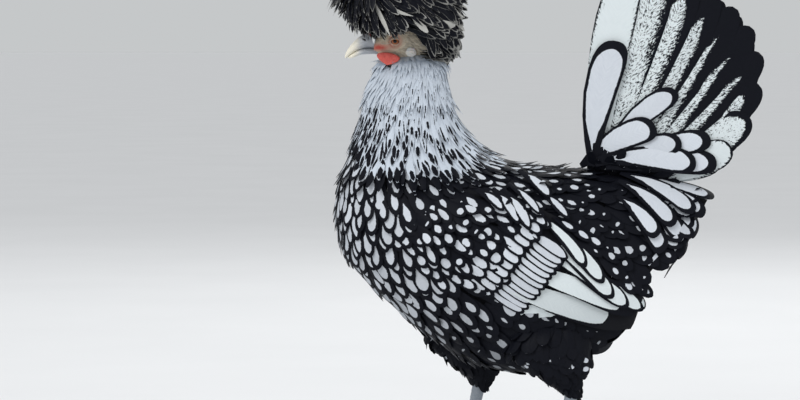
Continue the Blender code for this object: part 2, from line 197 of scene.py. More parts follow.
class Finish:
    """A material and its node tree, with one method that adds any node."""

    def __init__(self, name, **constants):
        self.material = bpy.data.materials.new(name)
        self.material.use_nodes = True
        self.tree = self.material.node_tree
        self.shader = self.tree.nodes["Principled BSDF"]
        for socket, value in constants.items():
            self.feed(self.shader.inputs[socket.replace("_", " ")], value)

    def feed(self, socket, value):
        if isinstance(value, Wire):
            self.tree.links.new(value.socket, socket)
        else:
            socket.default_value = value

    def node(self, kind, inputs=None, settings=None, output=0):
        made = self.tree.nodes.new("ShaderNode" + kind)
        for setting, value in (settings or {}).items():
            if setting == "stops":
                self.set_stops(made.color_ramp, value)
            else:
                setattr(made, setting, value)
        for socket, value in (inputs or {}).items():
            self.feed(made.inputs[socket], value)
        return Wire(self, made.outputs[output])

    def set_stops(self, ramp, stops):
        while len(ramp.elements) < len(stops):
            ramp.elements.new(1)
        for element, (place, colour) in zip(ramp.elements, stops):
            element.position = place
            element.color = (*colour, 1)

    def attribute(self, name):
        return self.node("Attribute", settings={"attribute_name": name}, output=2)

    def noise(self, place, scale, detail=2, roughness=0.5):
        inputs = {"Vector": place, "Scale": scale, "Detail": detail, "Roughness": roughness}
        return self.node("TexNoise", inputs)

    def place(self, stretch=(1, 1, 1)):
        """Where a point lies on the object, in millimetres, stretched on request."""
        own = self.node("TexCoord", output=3)
        scale = tuple(share / MM for share in stretch)
        return self.node("Mapping", {"Vector": own, "Scale": scale})

    def blend(self, share, first, second):
        """A colour between two colours, each plain numbers or a wire."""
        pair = [c if isinstance(c, Wire) else (*c, 1) for c in (first, second)]
        inputs = {0: share, 6: pair[0], 7: pair[1]}
        return self.node("Mix", inputs, {"data_type": "RGBA"}, output=2)

    def colour(self, value, roughness=None):
        self.feed(self.shader.inputs["Base Color"], value)
        if roughness is not None:
            self.feed(self.shader.inputs["Roughness"], roughness)

    def relief(self, height, strength, depth):
        """Bumps of a height given as a number from 0 to 1, depth millimetres deep."""
        inputs = {"Height": height, "Strength": strength, "Distance": depth * MM}
        self.feed(self.shader.inputs["Normal"], self.node("Bump", inputs))


# %% Floor
def added(name, make, **settings):
    """A new piece, made by one of Blender's own commands."""
    bpy.ops.object.select_all(action="DESELECT")
    make(**settings)
    bpy.context.object.name = name
    return bpy.context.object


FLOOR_SIZE = 120
FLOOR_COLOURS = ((0.74, 0.75, 0.76), (0.79, 0.80, 0.81))


def floor_finish():
    look = Finish("floor", Roughness=0.85)
    mottle = look.noise(look.place((0.004, 0.004, 0.004)), 1, 3)
    look.colour(look.blend(mottle, *FLOOR_COLOURS))
    return look.material


def make_floor():
    floor = added("floor", bpy.ops.mesh.primitive_plane_add, size=FLOOR_SIZE)
    floor.data.materials.append(floor_finish())


make_floor()
print("floor:", FLOOR_SIZE, "m across")

# %% [markdown]
# ## The forms under the feathers
#
# The solids were lofted through sections, each a closed curve between an upper and a
# lower point. The skin and the lie of the coat need the same forms, so the sections
# are repeated here. A place counts sections from the throat to the vent, and an angle
# goes round, from the back over the right side to the belly.

# %% Sections of the body, head and crest
BODY_SECTIONS = (
    # back x, z; belly x, z; half width; how much fuller it is towards the breast
    (-92, 357, -133, 353, 14, -0.4),
    (-84, 349, -139, 347, 20, -0.34),
    (-79, 326, -149, 326, 27, -0.2),
    (-73, 306, -156, 303, 33, -0.08),
    (-61, 288, -165, 277, 41, 0.02),
    (-42, 273, -174, 253, 50, 0.08),
    (-14, 266, -177, 224, 57, 0.12),
    (7, 264, -172, 195, 61, 0.12),
    (27, 262, -156, 171, 62, 0.12),
    (45, 259, -132, 149, 61, 0.12),
    (63, 256, -100, 123, 58, 0.12),
    (81, 253, -64, 100, 54, 0.12),
    (99, 249, -23, 92, 50, 0.12),
    (117, 246, 20, 102, 45, 0.1),
    (130, 243, 55, 125, 38, 0.06),
    (138, 238, 82, 165, 28, 0),
    (136, 228, 110, 187, 13, 0),
)
HEAD_SECTIONS = (
    # top x, z; bottom x, z; half width, from the beak to the back of the skull
    (-142, 365, -143, 355, 6.5),
    (-135, 373, -136, 352, 11),
    (-125, 380, -125, 348, 14.5),
    (-113, 384, -112, 345, 16.5),
    (-101, 381, -99, 346, 15.5),
    (-91, 372, -91, 352, 9),
)
CREST_SECTIONS = (
    # front x, z; back x, z; half width, from the crown down to the tuft behind the ear
    (-130, 446, -108, 446, 9),
    (-149, 440, -90, 440, 29),
    (-165, 424, -74, 424, 45),
    (-174, 405, -66, 405, 53),
    (-176, 388, -64, 388, 55),
    (-171, 376, -65, 373, 51),
    (-161, 369, -69, 362, 44),
    (-141, 369, -74, 352, 34),
    (-106, 366, -80, 345, 20),
)


def between(sections, place):
    """Catmull-Rom values between sections, for an array of places."""
    table = np.asarray(sections, float)
    last = len(table) - 1
    place = np.clip(np.asarray(place, float), 0, last)
    index = np.minimum(place.astype(int), last - 1)
    t = (place - index)[..., None]
    a, b, c, d = (table[np.clip(index + step, 0, last)] for step in (-1, 0, 1, 2))
    bend = (2 * a - 5 * b + 4 * c - d) * t**2 + (3 * b - 3 * c + d - a) * t**3
    return 0.5 * (2 * b + (c - a) * t + bend)


def on_form(sections):
    """A function that gives the points of a form at arrays of places and angles."""

    def point_at(place, angle):
        values = between(sections, place)
        upper, lower, half_width = values[..., 0:2], values[..., 2:4], values[..., 4]
        fuller = values[..., 5] if values.shape[-1] > 5 else 0
        turn = np.cos(angle)
        middle = (upper + lower) / 2 + (upper - lower) / 2 * turn[..., None]
        out = half_width * np.sin(angle) * (1 - fuller * turn)
        return np.stack([middle[..., 0], out, middle[..., 1]], -1)

    return point_at


on_body = on_form(BODY_SECTIONS)
on_head = on_form(HEAD_SECTIONS)
on_crest = on_form(CREST_SECTIONS)
print("top of the back:", on_body(np.array([8.0]), np.array([0.0])).round(1))

# %% [markdown]
# Every vane needs to know how the surface runs at its root: which way the coat lies,
# which way is out, and how the form curves along and across. Small steps on the form
# give all of that, for thousands of roots at once.

# %% How the coat lies on a form
STEP_ALONG = 0.05
STEP_ROUND = 0.03
MOST_BEND = 0.03


def unit(vectors):
    return vectors / np.maximum(np.linalg.norm(vectors, axis=-1, keepdims=True), 1e-9)


def dot(first, second):
    return (first * second).sum(-1)


def curving(before, here, after, out):
    """How fast a line through three points bends away from outward, per millimetre."""
    reach = np.linalg.norm(after - before, axis=-1) / 2
    bend = -dot(after - 2 * here + before, out) / np.maximum(reach, 1e-6) ** 2
    return np.clip(bend, -MOST_BEND / 2, MOST_BEND)


def lie_on(point_at, place, angle):
    """Root, direction of the coat, outward direction and both curvatures."""
    here = point_at(place, angle)
    ahead = point_at(place + STEP_ALONG, angle)
    behind = point_at(place - STEP_ALONG, angle)
    one_side = point_at(place, angle - STEP_ROUND)
    other_side = point_at(place, angle + STEP_ROUND)
    along = unit(ahead - behind)
    out = unit(np.cross(along, other_side - one_side))
    opposite = point_at(place, angle + pi)
    out *= np.sign(dot(out, here - opposite))[:, None]
    return {
        "place": place,
        "angle": angle,
        "root": here,
        "along": along,
        "out": out,
        "bend": curving(behind, here, ahead, out),
        "side_bend": curving(one_side, here, other_side, out),
    }


def chosen(vanes, which):
    return {key: values[which] for key, values in vanes.items()}


def unwrapped(lie, last):
    """Where the roots lie on the unwrap of a form with sections up to the last."""
    return np.stack([lie["place"] / last, lie["angle"] / (2 * pi)], -1)


# %% [markdown]
# Roots are spread by trying very many places in the order of the coat's lie, and
# keeping each one that is far enough from those kept before. Distance counts less
# along the coat than across it where the vanes are long, and the order makes the
# staggered rows of real plumage.


# %% Spreading the roots
def well_spaced(lie, gap_along, gap_across):
    """The roots, taken in order, that lie clear of all kept before: which, and they."""
    root, along = lie["root"], lie["along"]
    across = np.cross(lie["out"], along)
    cell = float(max(gap_along.max(), gap_across.max()))
    boxes = np.floor(root / cell).astype(int).tolist()
    rows = np.concatenate(
        [root, along / gap_along[:, None], across / gap_across[:, None]], 1
    ).tolist()
    near = [(i, j, k) for i in (-1, 0, 1) for j in (-1, 0, 1) for k in (-1, 0, 1)]
    filled = {}
    kept = []
    for index, (x, y, z, ax, ay, az, sx, sy, sz) in enumerate(rows):
        bx, by, bz = boxes[index]
        clear = True
        for i, j, k in near:
            for px, py, pz in filled.get((bx + i, by + j, bz + k), ()):
                dx, dy, dz = px - x, py - y, pz - z
                ahead = dx * ax + dy * ay + dz * az
                aside = dx * sx + dy * sy + dz * sz
                if ahead * ahead + aside * aside < 1:
                    clear = False
                    break
            if not clear:
                break
        if clear:
            filled.setdefault((bx, by, bz), []).append((x, y, z))
            kept.append(index)
    kept = np.array(kept, int)
    return kept, chosen(lie, kept)


def held_back(lie, length, inside):
    """The length that each vane may have before its tip leaves an outline."""
    fits = np.ones(len(length), bool)
    longest = np.zeros(len(length))
    for share in np.linspace(0.1, 1, 10):
        point = lie["root"] + lie["along"] * (length * share)[:, None]
        fits &= inside(point)
        longest = np.where(fits, length * share, longest)
    return longest


def candidates(first, last, count, dice):
    """Places in the order of the coat's lie, each with an angle."""
    return np.sort(dice.uniform(first, last, count)), dice.uniform(-pi, pi, count)


# %% [markdown]
# ## A vane
#
# A contour feather shows only its vane: a thin shell, arched across, with a round or
# pointed end. It is modelled once, as a grid of a few dozen faces closed below by a
# keel line, and array maths gives each copy its own size, bend and markings. The
# grid's columns follow the edge between the white field and the black lacing, so the
# mesh itself holds the pattern.

# %% Features of a vane
FEATURES = {
    "length": 30,
    "half": 6,  # half its width
    "rim": 2,  # the lacing's width along the sides
    "cap": 3,  # the lacing's width at the tip
    "field_from": 0,  # share of the length where the field starts
    "field_stem": 0.3,  # the field's width at its start, as a share of its widest
    "field_belly": 0.72,
    "field_sharp": 0.6,
    "inside": 1,  # 1 for a white field in black lacing, -1 for a black field in white
    "sharp": 0.5,  # 0.5 for a round tip, more than 1 for a pointed one
    "belly": 0.62,  # share of the length where it is widest
    "stem": 0.4,  # its width at the root, as a share of its widest
    "bend": 0,
    "side_bend": 0,
    "sweep": 0,  # how far the tip is carried sideways
    "bow": 0,  # how far its middle is carried sideways
    "shift": 0,  # how far the field lies to one side
    "skew": 1.3,  # how far a laced field's widest part lies towards the tip
    "blunt": 1.2,  # 1 for a laced field with round ends, more for blunt ones
    "most": 99,  # the most that the mark may be, small where specks reach the middle
    "pepper": 0,  # how strong the specks are
    "lift": 0.4,  # how far the tip stands over the form
    "depth": 5,  # how deep the root lies
    "camber": 0.14,
    "roll": 0,
    "ragged": 0.25,  # how far the field's edge wanders
    "tone": 1,
    "shaft": -1,  # half the width of a pale shaft, if any
    "thick": 0.35,
}
TIP_SHARE = 0.16
FINE_STOPS = ((0, 0.4, 0.7, 0.88, 1), (0.5, 1), (0,))
NO_FIELD = 9
QUILL_STOPS = (
    (0, 0.12, 0.25, 0.38, 0.5, 0.62, 0.73, 0.83, 0.91, 0.97, 1),
    (0.2, 0.4, 0.6, 0.8, 0.93, 1),
    (-0.5, 0, 0.5),
)
EDGE_STEP = 0.22


def bed(lie, unwrap, **given):
    """The vanes of one tract: where their roots lie, and every feature as an array."""
    count = len(lie["root"])
    made = {key: lie[key] for key in ("root", "along", "out")}
    made["unwrap"] = np.broadcast_to(unwrap, (count, 2))
    for key, usual in FEATURES.items():
        value = given.pop(key, lie.get(key, usual))
        made[key] = np.broadcast_to(np.asarray(value, float), (count,)).copy()
    assert not given, given
    return made


def together(*beds):
    return {key: np.concatenate([each[key] for each in beds]) for key in beds[0]}


def outline(share, stem, belly, sharp):
    """Half width at each share of the length, 1 at the widest place."""
    swelling = stem + (1 - stem) * np.sin(np.minimum(share / belly, 1) * pi / 2)
    closing = np.clip((share - belly) / (1 - belly), 0, 1)
    return swelling * (1 - closing**2) ** sharp


# %% Vanes joined into one mesh
OWN_PATCH = 0.003
BARB_SLANT = 1.1


def vane_points(vanes, stops):
    """Points, markings and own maps of every vane, as arrays."""
    wide = {key: vanes[key][:, None, None] for key in FEATURES}
    field_stops, cap_stops, field_columns = stops
    end = 1 - wide["cap"] / wide["length"]
    share = np.concatenate(
        [end * stop for stop in field_stops]
        + [end + (1 - end) * stop for stop in cap_stops],
        axis=1,
    )
    length = wide["length"]
    body = outline(share, wide["stem"], wide["belly"], wide["sharp"])
    half = wide["half"] * np.maximum(body, TIP_SHARE)
    within = np.clip(share / end, 0, 1)
    shape = (wide["field_stem"], wide["field_belly"], wide["field_sharp"])
    field = outline(within, *shape)
    field = np.where(share < end, (wide["half"] - wide["rim"]) * field, 0)
    border = np.clip(field / half, 0.14, 0.86)
    step = np.clip(EDGE_STEP / half, 0, 0.1)
    inner = [border * column for column in field_columns]
    columns = [-1 + 0 * border, -border - step, -border + step, *inner]
    columns += [border - step, border + step, 1 + 0 * border]
    across = np.concatenate(columns, axis=2) * half
    reach = np.abs(across)
    off_middle = np.abs(across - wide["shift"])
    mark = np.where(share < end, field, (end - share) * length) - off_middle
    mark = np.minimum(mark, (share - wide["field_from"]) * length) * wide["inside"]
    mark = np.minimum(mark, wide["most"])
    run = share * length
    start, stop = wide["field_from"] * length, end * length
    lengthwise = (run - start) / np.maximum(stop - start, 0.1)
    crosswise = across / np.maximum(half - wide["rim"], 0.25)
    crosswise = np.where(stop - start > 0.5, crosswise, NO_FIELD)
    bend = np.where(np.abs(wide["bend"]) < 1e-5, 1e-5, wide["bend"])
    ahead = np.sin(bend * run) / bend
    drop = (1 - np.cos(bend * run)) / bend
    rise = -wide["depth"] + (wide["depth"] + wide["lift"]) * share**0.85
    arch = wide["side_bend"] * across**2 / 2 + wide["camber"] * reach**2 / wide["half"]
    rise = rise - drop - arch + np.tan(wide["roll"]) * across
    aside = across + wide["sweep"] * share**2 + wide["bow"] * np.sin(pi * share)
    side = np.cross(vanes["out"], vanes["along"])

    def spread(direction, amount):
        return direction[:, None, None, :] * amount[..., None]

    top = vanes["root"][:, None, None, :] + spread(vanes["along"], ahead)
    top = top + spread(side, aside) + spread(vanes["out"], rise)
    keel_column = top.shape[2] // 2
    thin = (wide["thick"] * (1.3 - share))[..., None]
    keel = top[:, :, keel_column : keel_column + 1] - vanes["out"][:, None, None] * thin
    points = np.concatenate([top, keel], axis=2)

    def with_keel(values):
        values = np.broadcast_to(values, across.shape)
        return np.concatenate(
            [values, values[..., keel_column : keel_column + 1]], axis=2
        )

    reach, mark = with_keel(reach), with_keel(mark)
    shaft = with_keel(wide["shaft"] - 0.4 * share)
    barbs = with_keel(run) - BARB_SLANT * reach
    own_x = with_keel(across / half) * OWN_PATCH / 2
    own_y = (with_keel(share) - 0.5) * OWN_PATCH
    values = {"mark": mark, "shaft": shaft}
    maps = {
        "OFBake": (own_x, own_y),
        "Vane": (barbs, reach),
        "Field": (with_keel(lengthwise), with_keel(crosswise)),
    }
    return points, values, {name: np.stack(pair, -1) for name, pair in maps.items()}


def vane_faces(rows, columns):
    """Faces of one closed vane: a grid above, two strips below and both ends."""
    row = columns + 1
    faces = []
    for r in range(rows - 1):
        for c in range(columns - 1):
            start = r * row + c
            faces.append((start, start + row, start + row + 1, start + 1))
        edge, keel, far = r * row, r * row + columns, r * row + columns - 1
        faces.append((edge, keel, keel + row, edge + row))
        faces.append((keel, far, far + row, keel + row))
    faces.append(tuple(range(row)))
    tip = (rows - 1) * row
    faces.append(tuple(tip + c for c in reversed(range(row))))
    return faces


def lay_vanes(name, vanes, finish, replaced, stops=FINE_STOPS):
    """Makes one piece of all the vanes of a bed."""
    dice = np.random.default_rng(1)
    points, values, maps = vane_points(vanes, stops)
    count, rows, columns = points.shape[:3]
    faces = vane_faces(rows, columns - 1)
    offset = (np.arange(count) * rows * columns)[:, None]
    corners = (np.concatenate([np.array(f) for f in faces])[None] + offset).ravel()
    sizes = np.tile([len(f) for f in faces], count)
    mesh = bpy.data.meshes.new(name)
    mesh.vertices.add(count * rows * columns)
    mesh.vertices.foreach_set("co", (points * MM).astype(np.float32).ravel())
    mesh.loops.add(len(corners))
    mesh.loops.foreach_set("vertex_index", corners.astype(np.int32))
    mesh.polygons.add(len(sizes))
    starts = np.concatenate([[0], np.cumsum(sizes)[:-1]])
    mesh.polygons.foreach_set("loop_start", starts.astype(np.int32))
    mesh.update(calc_edges=True)
    for key in ("ragged", "tone", "pepper", "skew", "blunt"):
        values[key] = np.repeat(vanes[key], rows * columns)
    values["wide"] = np.repeat(vanes["half"] - vanes["rim"], rows * columns)
    for key, value in values.items():
        layer = mesh.attributes.new(key, "FLOAT", "POINT")
        layer.data.foreach_set("value", value.astype(np.float32).ravel())
    maps["Vane"][..., 0] += dice.uniform(0, 400, (count, 1, 1))
    unwrap = vanes["unwrap"]
    low, high = unwrap.min(0), unwrap.max(0)
    unwrap = 0.01 + 0.98 * (unwrap - low) / np.maximum(high - low, 1e-6)
    maps["OFBake"] += unwrap[:, None, None, :]
    for key, value in maps.items():
        layer = mesh.uv_layers.new(name=key, do_init=False)
        value = value.reshape(-1, 2)[corners]
        layer.uv.foreach_set("vector", value.astype(np.float32).ravel())
    mesh.materials.append(finish)
    mesh.shade_smooth()
    mesh.set_sharp_from_angle(angle=radians(70))
    piece = bpy.data.objects.new(name, mesh)
    bpy.context.scene.collection.objects.link(piece)
    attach(piece, "root")
    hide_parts(*replaced)
    triangles = count * sum(len(f) - 2 for f in faces)
    print(name, "vanes:", count, "triangles:", triangles)


# %% [markdown]
# ## The finish of the plumage
#
# The mark on each vertex says how far it lies inside the white field, so the edge of
# the lacing stays crisp at any distance. Noise drawn out along the barbs frays that
# edge, streaks the white and gives the fine relief that makes black feathers gleam.


# %% Plumage finishes
def laced_field(look):
    """How far a point lies inside a laced vane's round white field."""
    place = look.node("UVMap", settings={"uv_map": "Field"})
    along = look.node("SeparateXYZ", {0: place})
    across = look.node("SeparateXYZ", {0: place}, output=1)
    run = along.kept_in_range() ** look.attribute("skew")
    from_middle = ((run * 2 - 1) ** 2) ** look.attribute("blunt")
    width = (1 - from_middle).kept_in_range() ** 0.5
    outside = (along * -1).larger(along - 1).larger(0)
    return (width - (across * across) ** 0.5) * look.attribute("wide") - outside * 40


def plumage_finish(name, white, shade, black, gleam=0.5, laced=False):
    look = Finish(name, Specular_IOR_Level=0.06)
    mark = laced_field(look) if laced else look.attribute("mark")
    own = look.node("UVMap", settings={"uv_map": "Vane"})
    barb_place = look.node("Mapping", {"Vector": own, "Scale": (2.6, 0.22, 1)})
    fleck_place = look.node("Mapping", {"Vector": own, "Scale": (0.5, 0.16, 1)})
    barbs = look.noise(barb_place, 1, 2)
    flecks = look.noise(fleck_place, 1, 3, 0.65)
    ragged = look.attribute("ragged")
    tone = look.attribute("tone")
    reach = look.node("SeparateXYZ", {0: own}, output=1)
    specks = look.noise(own, 0.55, 3, 0.7)
    wander = (flecks - 0.5) * ragged * 3 + (barbs - 0.5) * ragged
    wander = wander + (specks - 0.5) * look.attribute("pepper") * 5
    soft = ragged * 0.35 + 0.16
    field = ((mark + wander) / soft + 0.5).kept_in_range()
    shaft = ((look.attribute("shaft") - reach) * 9 + 0.5).kept_in_range()
    # Where the barbs' relief is low, the white takes the shade colour and the black is at its
    # darkest: painted shade in the grooves between barbs. The flecks add the white's own streaks.
    pale = look.blend((barbs * 0.7 + flecks * 0.6 - 0.25).kept_in_range(), shade, white)
    pale = look.node(
        "Mix",
        {0: 1.0, 6: pale, 7: look.node("CombineColor", {0: tone, 1: tone, 2: tone})},
        {"data_type": "RGBA", "blend_type": "MULTIPLY"},
        output=2,
    )
    dark = look.blend(barbs, black, tuple(c * 1.8 for c in black))
    white_share = field.larger(shaft * 0.8)
    look.colour(look.blend(white_share, dark, pale), white_share * 0.2 + gleam)
    look.relief(barbs, 0.5, 0.12)
    return look.material


SILVER = (0.72, 0.75, 0.79)
SILVER_SHADE = (0.50, 0.54, 0.60)
CREAM = (0.80, 0.79, 0.73)
INK = (0.004, 0.0045, 0.007)
LACED = plumage_finish("laced_plumage", SILVER, SILVER_SHADE, INK, laced=True)
# The hackle's white is darker and bluer than the body's: painted shade, as the front of the neck
# lies in shade.
HACKLE = plumage_finish("hackle_plumage", (0.62, 0.67, 0.73), (0.48, 0.54, 0.62), INK)
CREST = plumage_finish("crest_plumage", CREAM, (0.40, 0.40, 0.39), INK, 0.34)
QUILL = plumage_finish("quill_plumage", (0.75, 0.80, 0.81), (0.58, 0.64, 0.66), INK)
print("plumage finishes:", 4)

# %% [markdown]
# ## The laced coat of the body
#
# Each tract of plumage has its own size of vane and its own width of lacing. The
# tracts below are named and placed in side view, and a root takes a mean of those
# near it, so that one tract passes into the next without a seam. A tract's lie is the
# direction in which its vanes point, seen from the left, level and backwards being 0.

# %% Tracts of the body
BODY_TRACTS = {
    # x, z; lie in degrees; length, half width; gaps along, across; rim, cap; field from
    "front": (-172, 250, -84, 25, 5.0, 9, 8, 2.2, 3, 0.05),
    "front_low": (-176, 205, -80, 26, 5.4, 10, 9, 2.4, 3.2, 0.1),
    "breast": (-145, 232, -76, 28, 6, 11, 10, 2.4, 3.4, 0.12),
    "side": (-120, 200, -62, 30, 6.4, 11.5, 10.5, 2.8, 3.7, 0.25),
    "low_breast": (-138, 168, -56, 30, 6.8, 12, 11, 2.9, 3.8, 0.25),
    "shoulder": (-98, 240, -62, 28, 6.4, 11, 10.5, 3.4, 4.4, 0.55),
    "flank": (-85, 160, -42, 32, 7, 13, 12, 3.3, 4.6, 0.38),
    "thigh": (-55, 128, -32, 32, 7, 13, 12, 4.2, 5.4, 0.62),
    "keel": (-86, 120, -34, 30, 6.6, 12, 11, 4.6, 5.6, 0.7),
    "back_front": (-50, 262, -30, 30, 5, 10, 8, 2.2, 3, 0.5),
    "back": (0, 262, -14, 28, 5.4, 10, 9, 3.1, 3.8, 0.68),
    "rump": (50, 252, -20, 28, 6.5, 10.5, 10, 4.2, 4.6, 0.7),
    "saddle": (40, 222, -32, 30, 6.5, 10.5, 10, 4.2, 4.6, 0.66),
    "saddle_low": (70, 190, -38, 32, 7, 11, 11, 5.2, 6, 0.74),
    "cushion": (100, 226, -40, 36, 7, 13, 11, 2.6, 4.4, 0.3),
    "cushion_end": (134, 222, -50, 32, 6.8, 13, 11, 2.6, 4.6, 0.3),
    "cushion_low": (112, 190, -44, 32, 7.6, 13, 12, 4.2, 6, 0.55),
    "vent": (90, 145, -50, 30, 8, 13, 13, 7, 8, 0.85),
    "belly": (0, 105, -24, 30, 8, 13, 12, 6, 7, 0.78),
}
TRACT_POWER = 2.2


def tract_mean(root, tracts):
    """Features at each root, as a mean of its near tracts, and the lie as a vector."""
    table = np.array(list(tracts.values()), float)
    gap = np.hypot(root[:, None, 0] - table[:, 0], root[:, None, 2] - table[:, 1])
    weight = 1 / (gap + 4) ** (2 * TRACT_POWER)
    weight /= weight.sum(1, keepdims=True)
    angle = np.radians(table[:, 2])
    lie = weight @ np.stack([np.cos(angle), 0 * angle, np.sin(angle)], -1)
    return unit(lie), (weight @ table[:, 3:]).T


def led(lie, direction):
    """A lie turned in its own surface towards a direction."""
    out = lie["out"]
    flat = direction - out * dot(direction, out)[:, None]
    length = np.linalg.norm(flat, axis=-1)
    trust = np.clip(length / 0.35, 0, 1)[:, None]
    along = unit(flat * trust + lie["along"] * (1 - trust) * 0.35)
    along = unit(along - out * dot(along, out)[:, None])
    if "bend" not in lie:
        return {**lie, "along": along}
    kept = dot(along, lie["along"]) ** 2
    bend = lie["bend"] * kept + lie["side_bend"] * (1 - kept)
    side_bend = lie["side_bend"] * kept + lie["bend"] * (1 - kept)
    return {**lie, "along": along, "bend": bend, "side_bend": side_bend}


def turned(lie, angle):
    """A lie turned about its outward direction, in radians."""
    side = np.cross(lie["out"], lie["along"])
    angle = np.broadcast_to(angle, (len(side),))[:, None]
    return {**lie, "along": unit(lie["along"] * np.cos(angle) + side * np.sin(angle))}


# %% [markdown]
# The folded wing lies over the flank like a long shallow dish. Its quills and coverts
# are laid from named places in side view, so the outermost surface of wing and flank
# is first mapped as a height over the hen's middle plane. A vane laid by its tip and
# direction then finds its heights, its tilt and its bend from that map.

# %% The flank's height over the middle plane
WING_SHOULDER = (-124, 222)
WING_TIP = (81, 148)
WING_BOW = 9
WING_SECTIONS = (
    # share of the way from shoulder to tip; top; low; how far out; half thickness
    (0, 12, -10, 50, 5),
    (0.10, 34, -27, 57, 8),
    (0.25, 48, -32, 60, 9),
    (0.42, 52, -33, 60, 9),
    (0.60, 48, -33, 58, 9),
    (0.75, 38, -34, 54, 8),
    (0.88, 25, -29, 47, 6),
    (0.96, 13, -18, 41, 3.6),
    (1, 4, -7, 37, 1.6),
)
MAP_STEP = 2
MAP_SAMPLES = 1200
SLOPE_STEP = 4


def on_wing(place, angle):
    """The wing's surface in side view and how far out it stands."""
    share, top, low, out, thick = np.moveaxis(between(WING_SECTIONS, place), -1, 0)
    line = np.array(WING_TIP, float) - WING_SHOULDER
    upward = np.array([-line[1], line[0]]) / np.linalg.norm(line)
    rise = (top + low) / 2 + (top - low) / 2 * np.cos(angle)
    flat = WING_SHOULDER + share[..., None] * line + rise[..., None] * upward
    reach = out - WING_BOW * np.cos(angle) ** 2 + thick * np.sin(angle)
    return np.stack([flat[..., 0], reach, flat[..., 1]], -1)


class Relief:
    """Heights over the hen's middle plane, on a grid in side view."""

    def __init__(self, low, high, *samples):
        self.low = np.array(low, float)
        self.cells = ((np.array(high) - low) / MAP_STEP).astype(int)
        heights = np.zeros(self.cells)
        for points in samples:
            points = points.reshape(-1, 3)
            cell = ((points[:, [0, 2]] - self.low) / MAP_STEP).round().astype(int)
            cell = np.clip(cell, 0, self.cells - 1)
            np.maximum.at(heights, (cell[:, 0], cell[:, 1]), points[:, 1])
        for _ in range(2):
            padded = np.pad(heights, 1, mode="edge")
            shifted = [
                padded[i : i + self.cells[0], j : j + self.cells[1]]
                for i in range(3)
                for j in range(3)
            ]
            heights = sum(shifted) / len(shifted)
        self.heights = heights

    def height(self, flat):
        """The height at places in side view, between the grid's points."""
        cell = (np.asarray(flat, float) - self.low) / MAP_STEP
        cell = np.clip(cell, 0, self.cells - 1.001)
        low = cell.astype(int)
        (i, j), (u, v) = low.T, (cell - low).T
        lower = self.heights[i, j] * (1 - u) + self.heights[i + 1, j] * u
        upper = self.heights[i, j + 1] * (1 - u) + self.heights[i + 1, j + 1] * u
        return lower * (1 - v) + upper * v

    def outward(self, side, flat):
        steps = np.array([SLOPE_STEP, 0]), np.array([0, SLOPE_STEP])
        slopes = [
            (self.height(flat + step) - self.height(flat - step)) / (2 * SLOPE_STEP)
            for step in steps
        ]
        level = np.full(len(flat), float(side))
        return unit(np.stack([-slopes[0], level, -slopes[1]], -1))

    def point(self, side, flat):
        return np.stack([flat[:, 0], side * self.height(flat), flat[:, 1]], -1)

    def laid(self, side, tip, angle, length):
        """The lie of vanes given by their tips, direction and length in side view."""
        tip = np.atleast_2d(np.asarray(tip, float))
        angle = np.radians(np.broadcast_to(angle, len(tip)))
        length = np.broadcast_to(np.asarray(length, float), (len(tip),))
        root = tip - np.stack([np.cos(angle), np.sin(angle)], -1) * length[:, None]
        middle = (root + tip) / 2
        start, end = self.point(side, root), self.point(side, tip)
        chord = end - start
        reach = np.linalg.norm(chord, axis=-1)
        along = chord / reach[:, None]
        out = self.outward(side, middle)
        out = unit(out - along * dot(out, along)[:, None])
        sag = dot(self.point(side, middle) - (start + end) / 2, out)
        bend = np.clip(8 * sag / reach**2, -0.004, 0.02)
        along = unit(along + out * np.tan(bend * reach / 2)[:, None])
        out = unit(out - along * dot(out, along)[:, None])
        lie = {"root": start, "along": along, "out": out}
        return {**lie, "bend": bend, "length": reach, "flat": root}


def wing_unwrap(side, flat):
    """Places along the wing and round its hollow, each side in its own half."""
    line = np.array(WING_TIP, float) - WING_SHOULDER
    reach = np.linalg.norm(line)
    offset = np.asarray(flat, float) - WING_SHOULDER
    along = offset @ line / reach**2
    rise = offset @ np.array([-line[1], line[0]]) / reach
    fold = np.sign(rise) * (60 - FLANK.height(flat))
    return np.stack([along / 2.6 + (side > 0) / 2, (rise + fold) / 200], -1)


places, angles = np.meshgrid(
    np.linspace(0, 1, MAP_SAMPLES), np.linspace(0, pi, MAP_SAMPLES // 3), indexing="ij"
)
FLANK = Relief(
    (-200, 60),
    (180, 400),
    on_body(places * (len(BODY_SECTIONS) - 1), angles),
    on_wing(places * (len(WING_SECTIONS) - 1), angles),
)
print("widest at the wings:", round(FLANK.heights.max() * 2), "mm")


# %% Where the wing covers the body
def wing_cover(flat):
    """How deep inside the wing's outline places in side view are, from 0 to 1."""
    line = np.array(WING_TIP, float) - WING_SHOULDER
    reach = np.linalg.norm(line)
    upward = np.array([-line[1], line[0]]) / reach
    offset = np.asarray(flat, float) - WING_SHOULDER
    share = offset @ line / reach**2
    rise = offset @ upward
    table = np.array(WING_SECTIONS)
    top = np.interp(share, table[:, 0], table[:, 1])
    low = np.interp(share, table[:, 0], table[:, 2])
    middle, half = (top + low) / 2, (top - low) / 2
    inside = 1 - np.abs(rise - middle) / half
    return np.where((share > 0) & (share < 1), np.clip(inside, 0, 1), 0)


# %% The body's coat
BODY_TRIES = 60000
NAPE_END = 4.2
WING_MARGIN = 0.22
WING_FOLD = (177, 0.361)  # z of the wing's long axis at x 0, and its fall
HIND_EDGE = (
    # x, z of the outline behind, from the vent to the tail
    (38, 104), (54, 118), (64, 132), (75, 161), (85, 171), (98, 182),
    (110, 191), (117, 206), (123, 230), (129, 243), (140, 262),
)
SHORTEST_VANES = ((125, 6), (160, 12))  # z; length
FACING_BACK = 0.55  # the rear is where the outward direction leans back this far
REAR_SHARE = 0.4  # the rear vanes' length, as a share of the usual
REAR_SLACK = (2, 0, 0)
REAR_BEND = 0.02


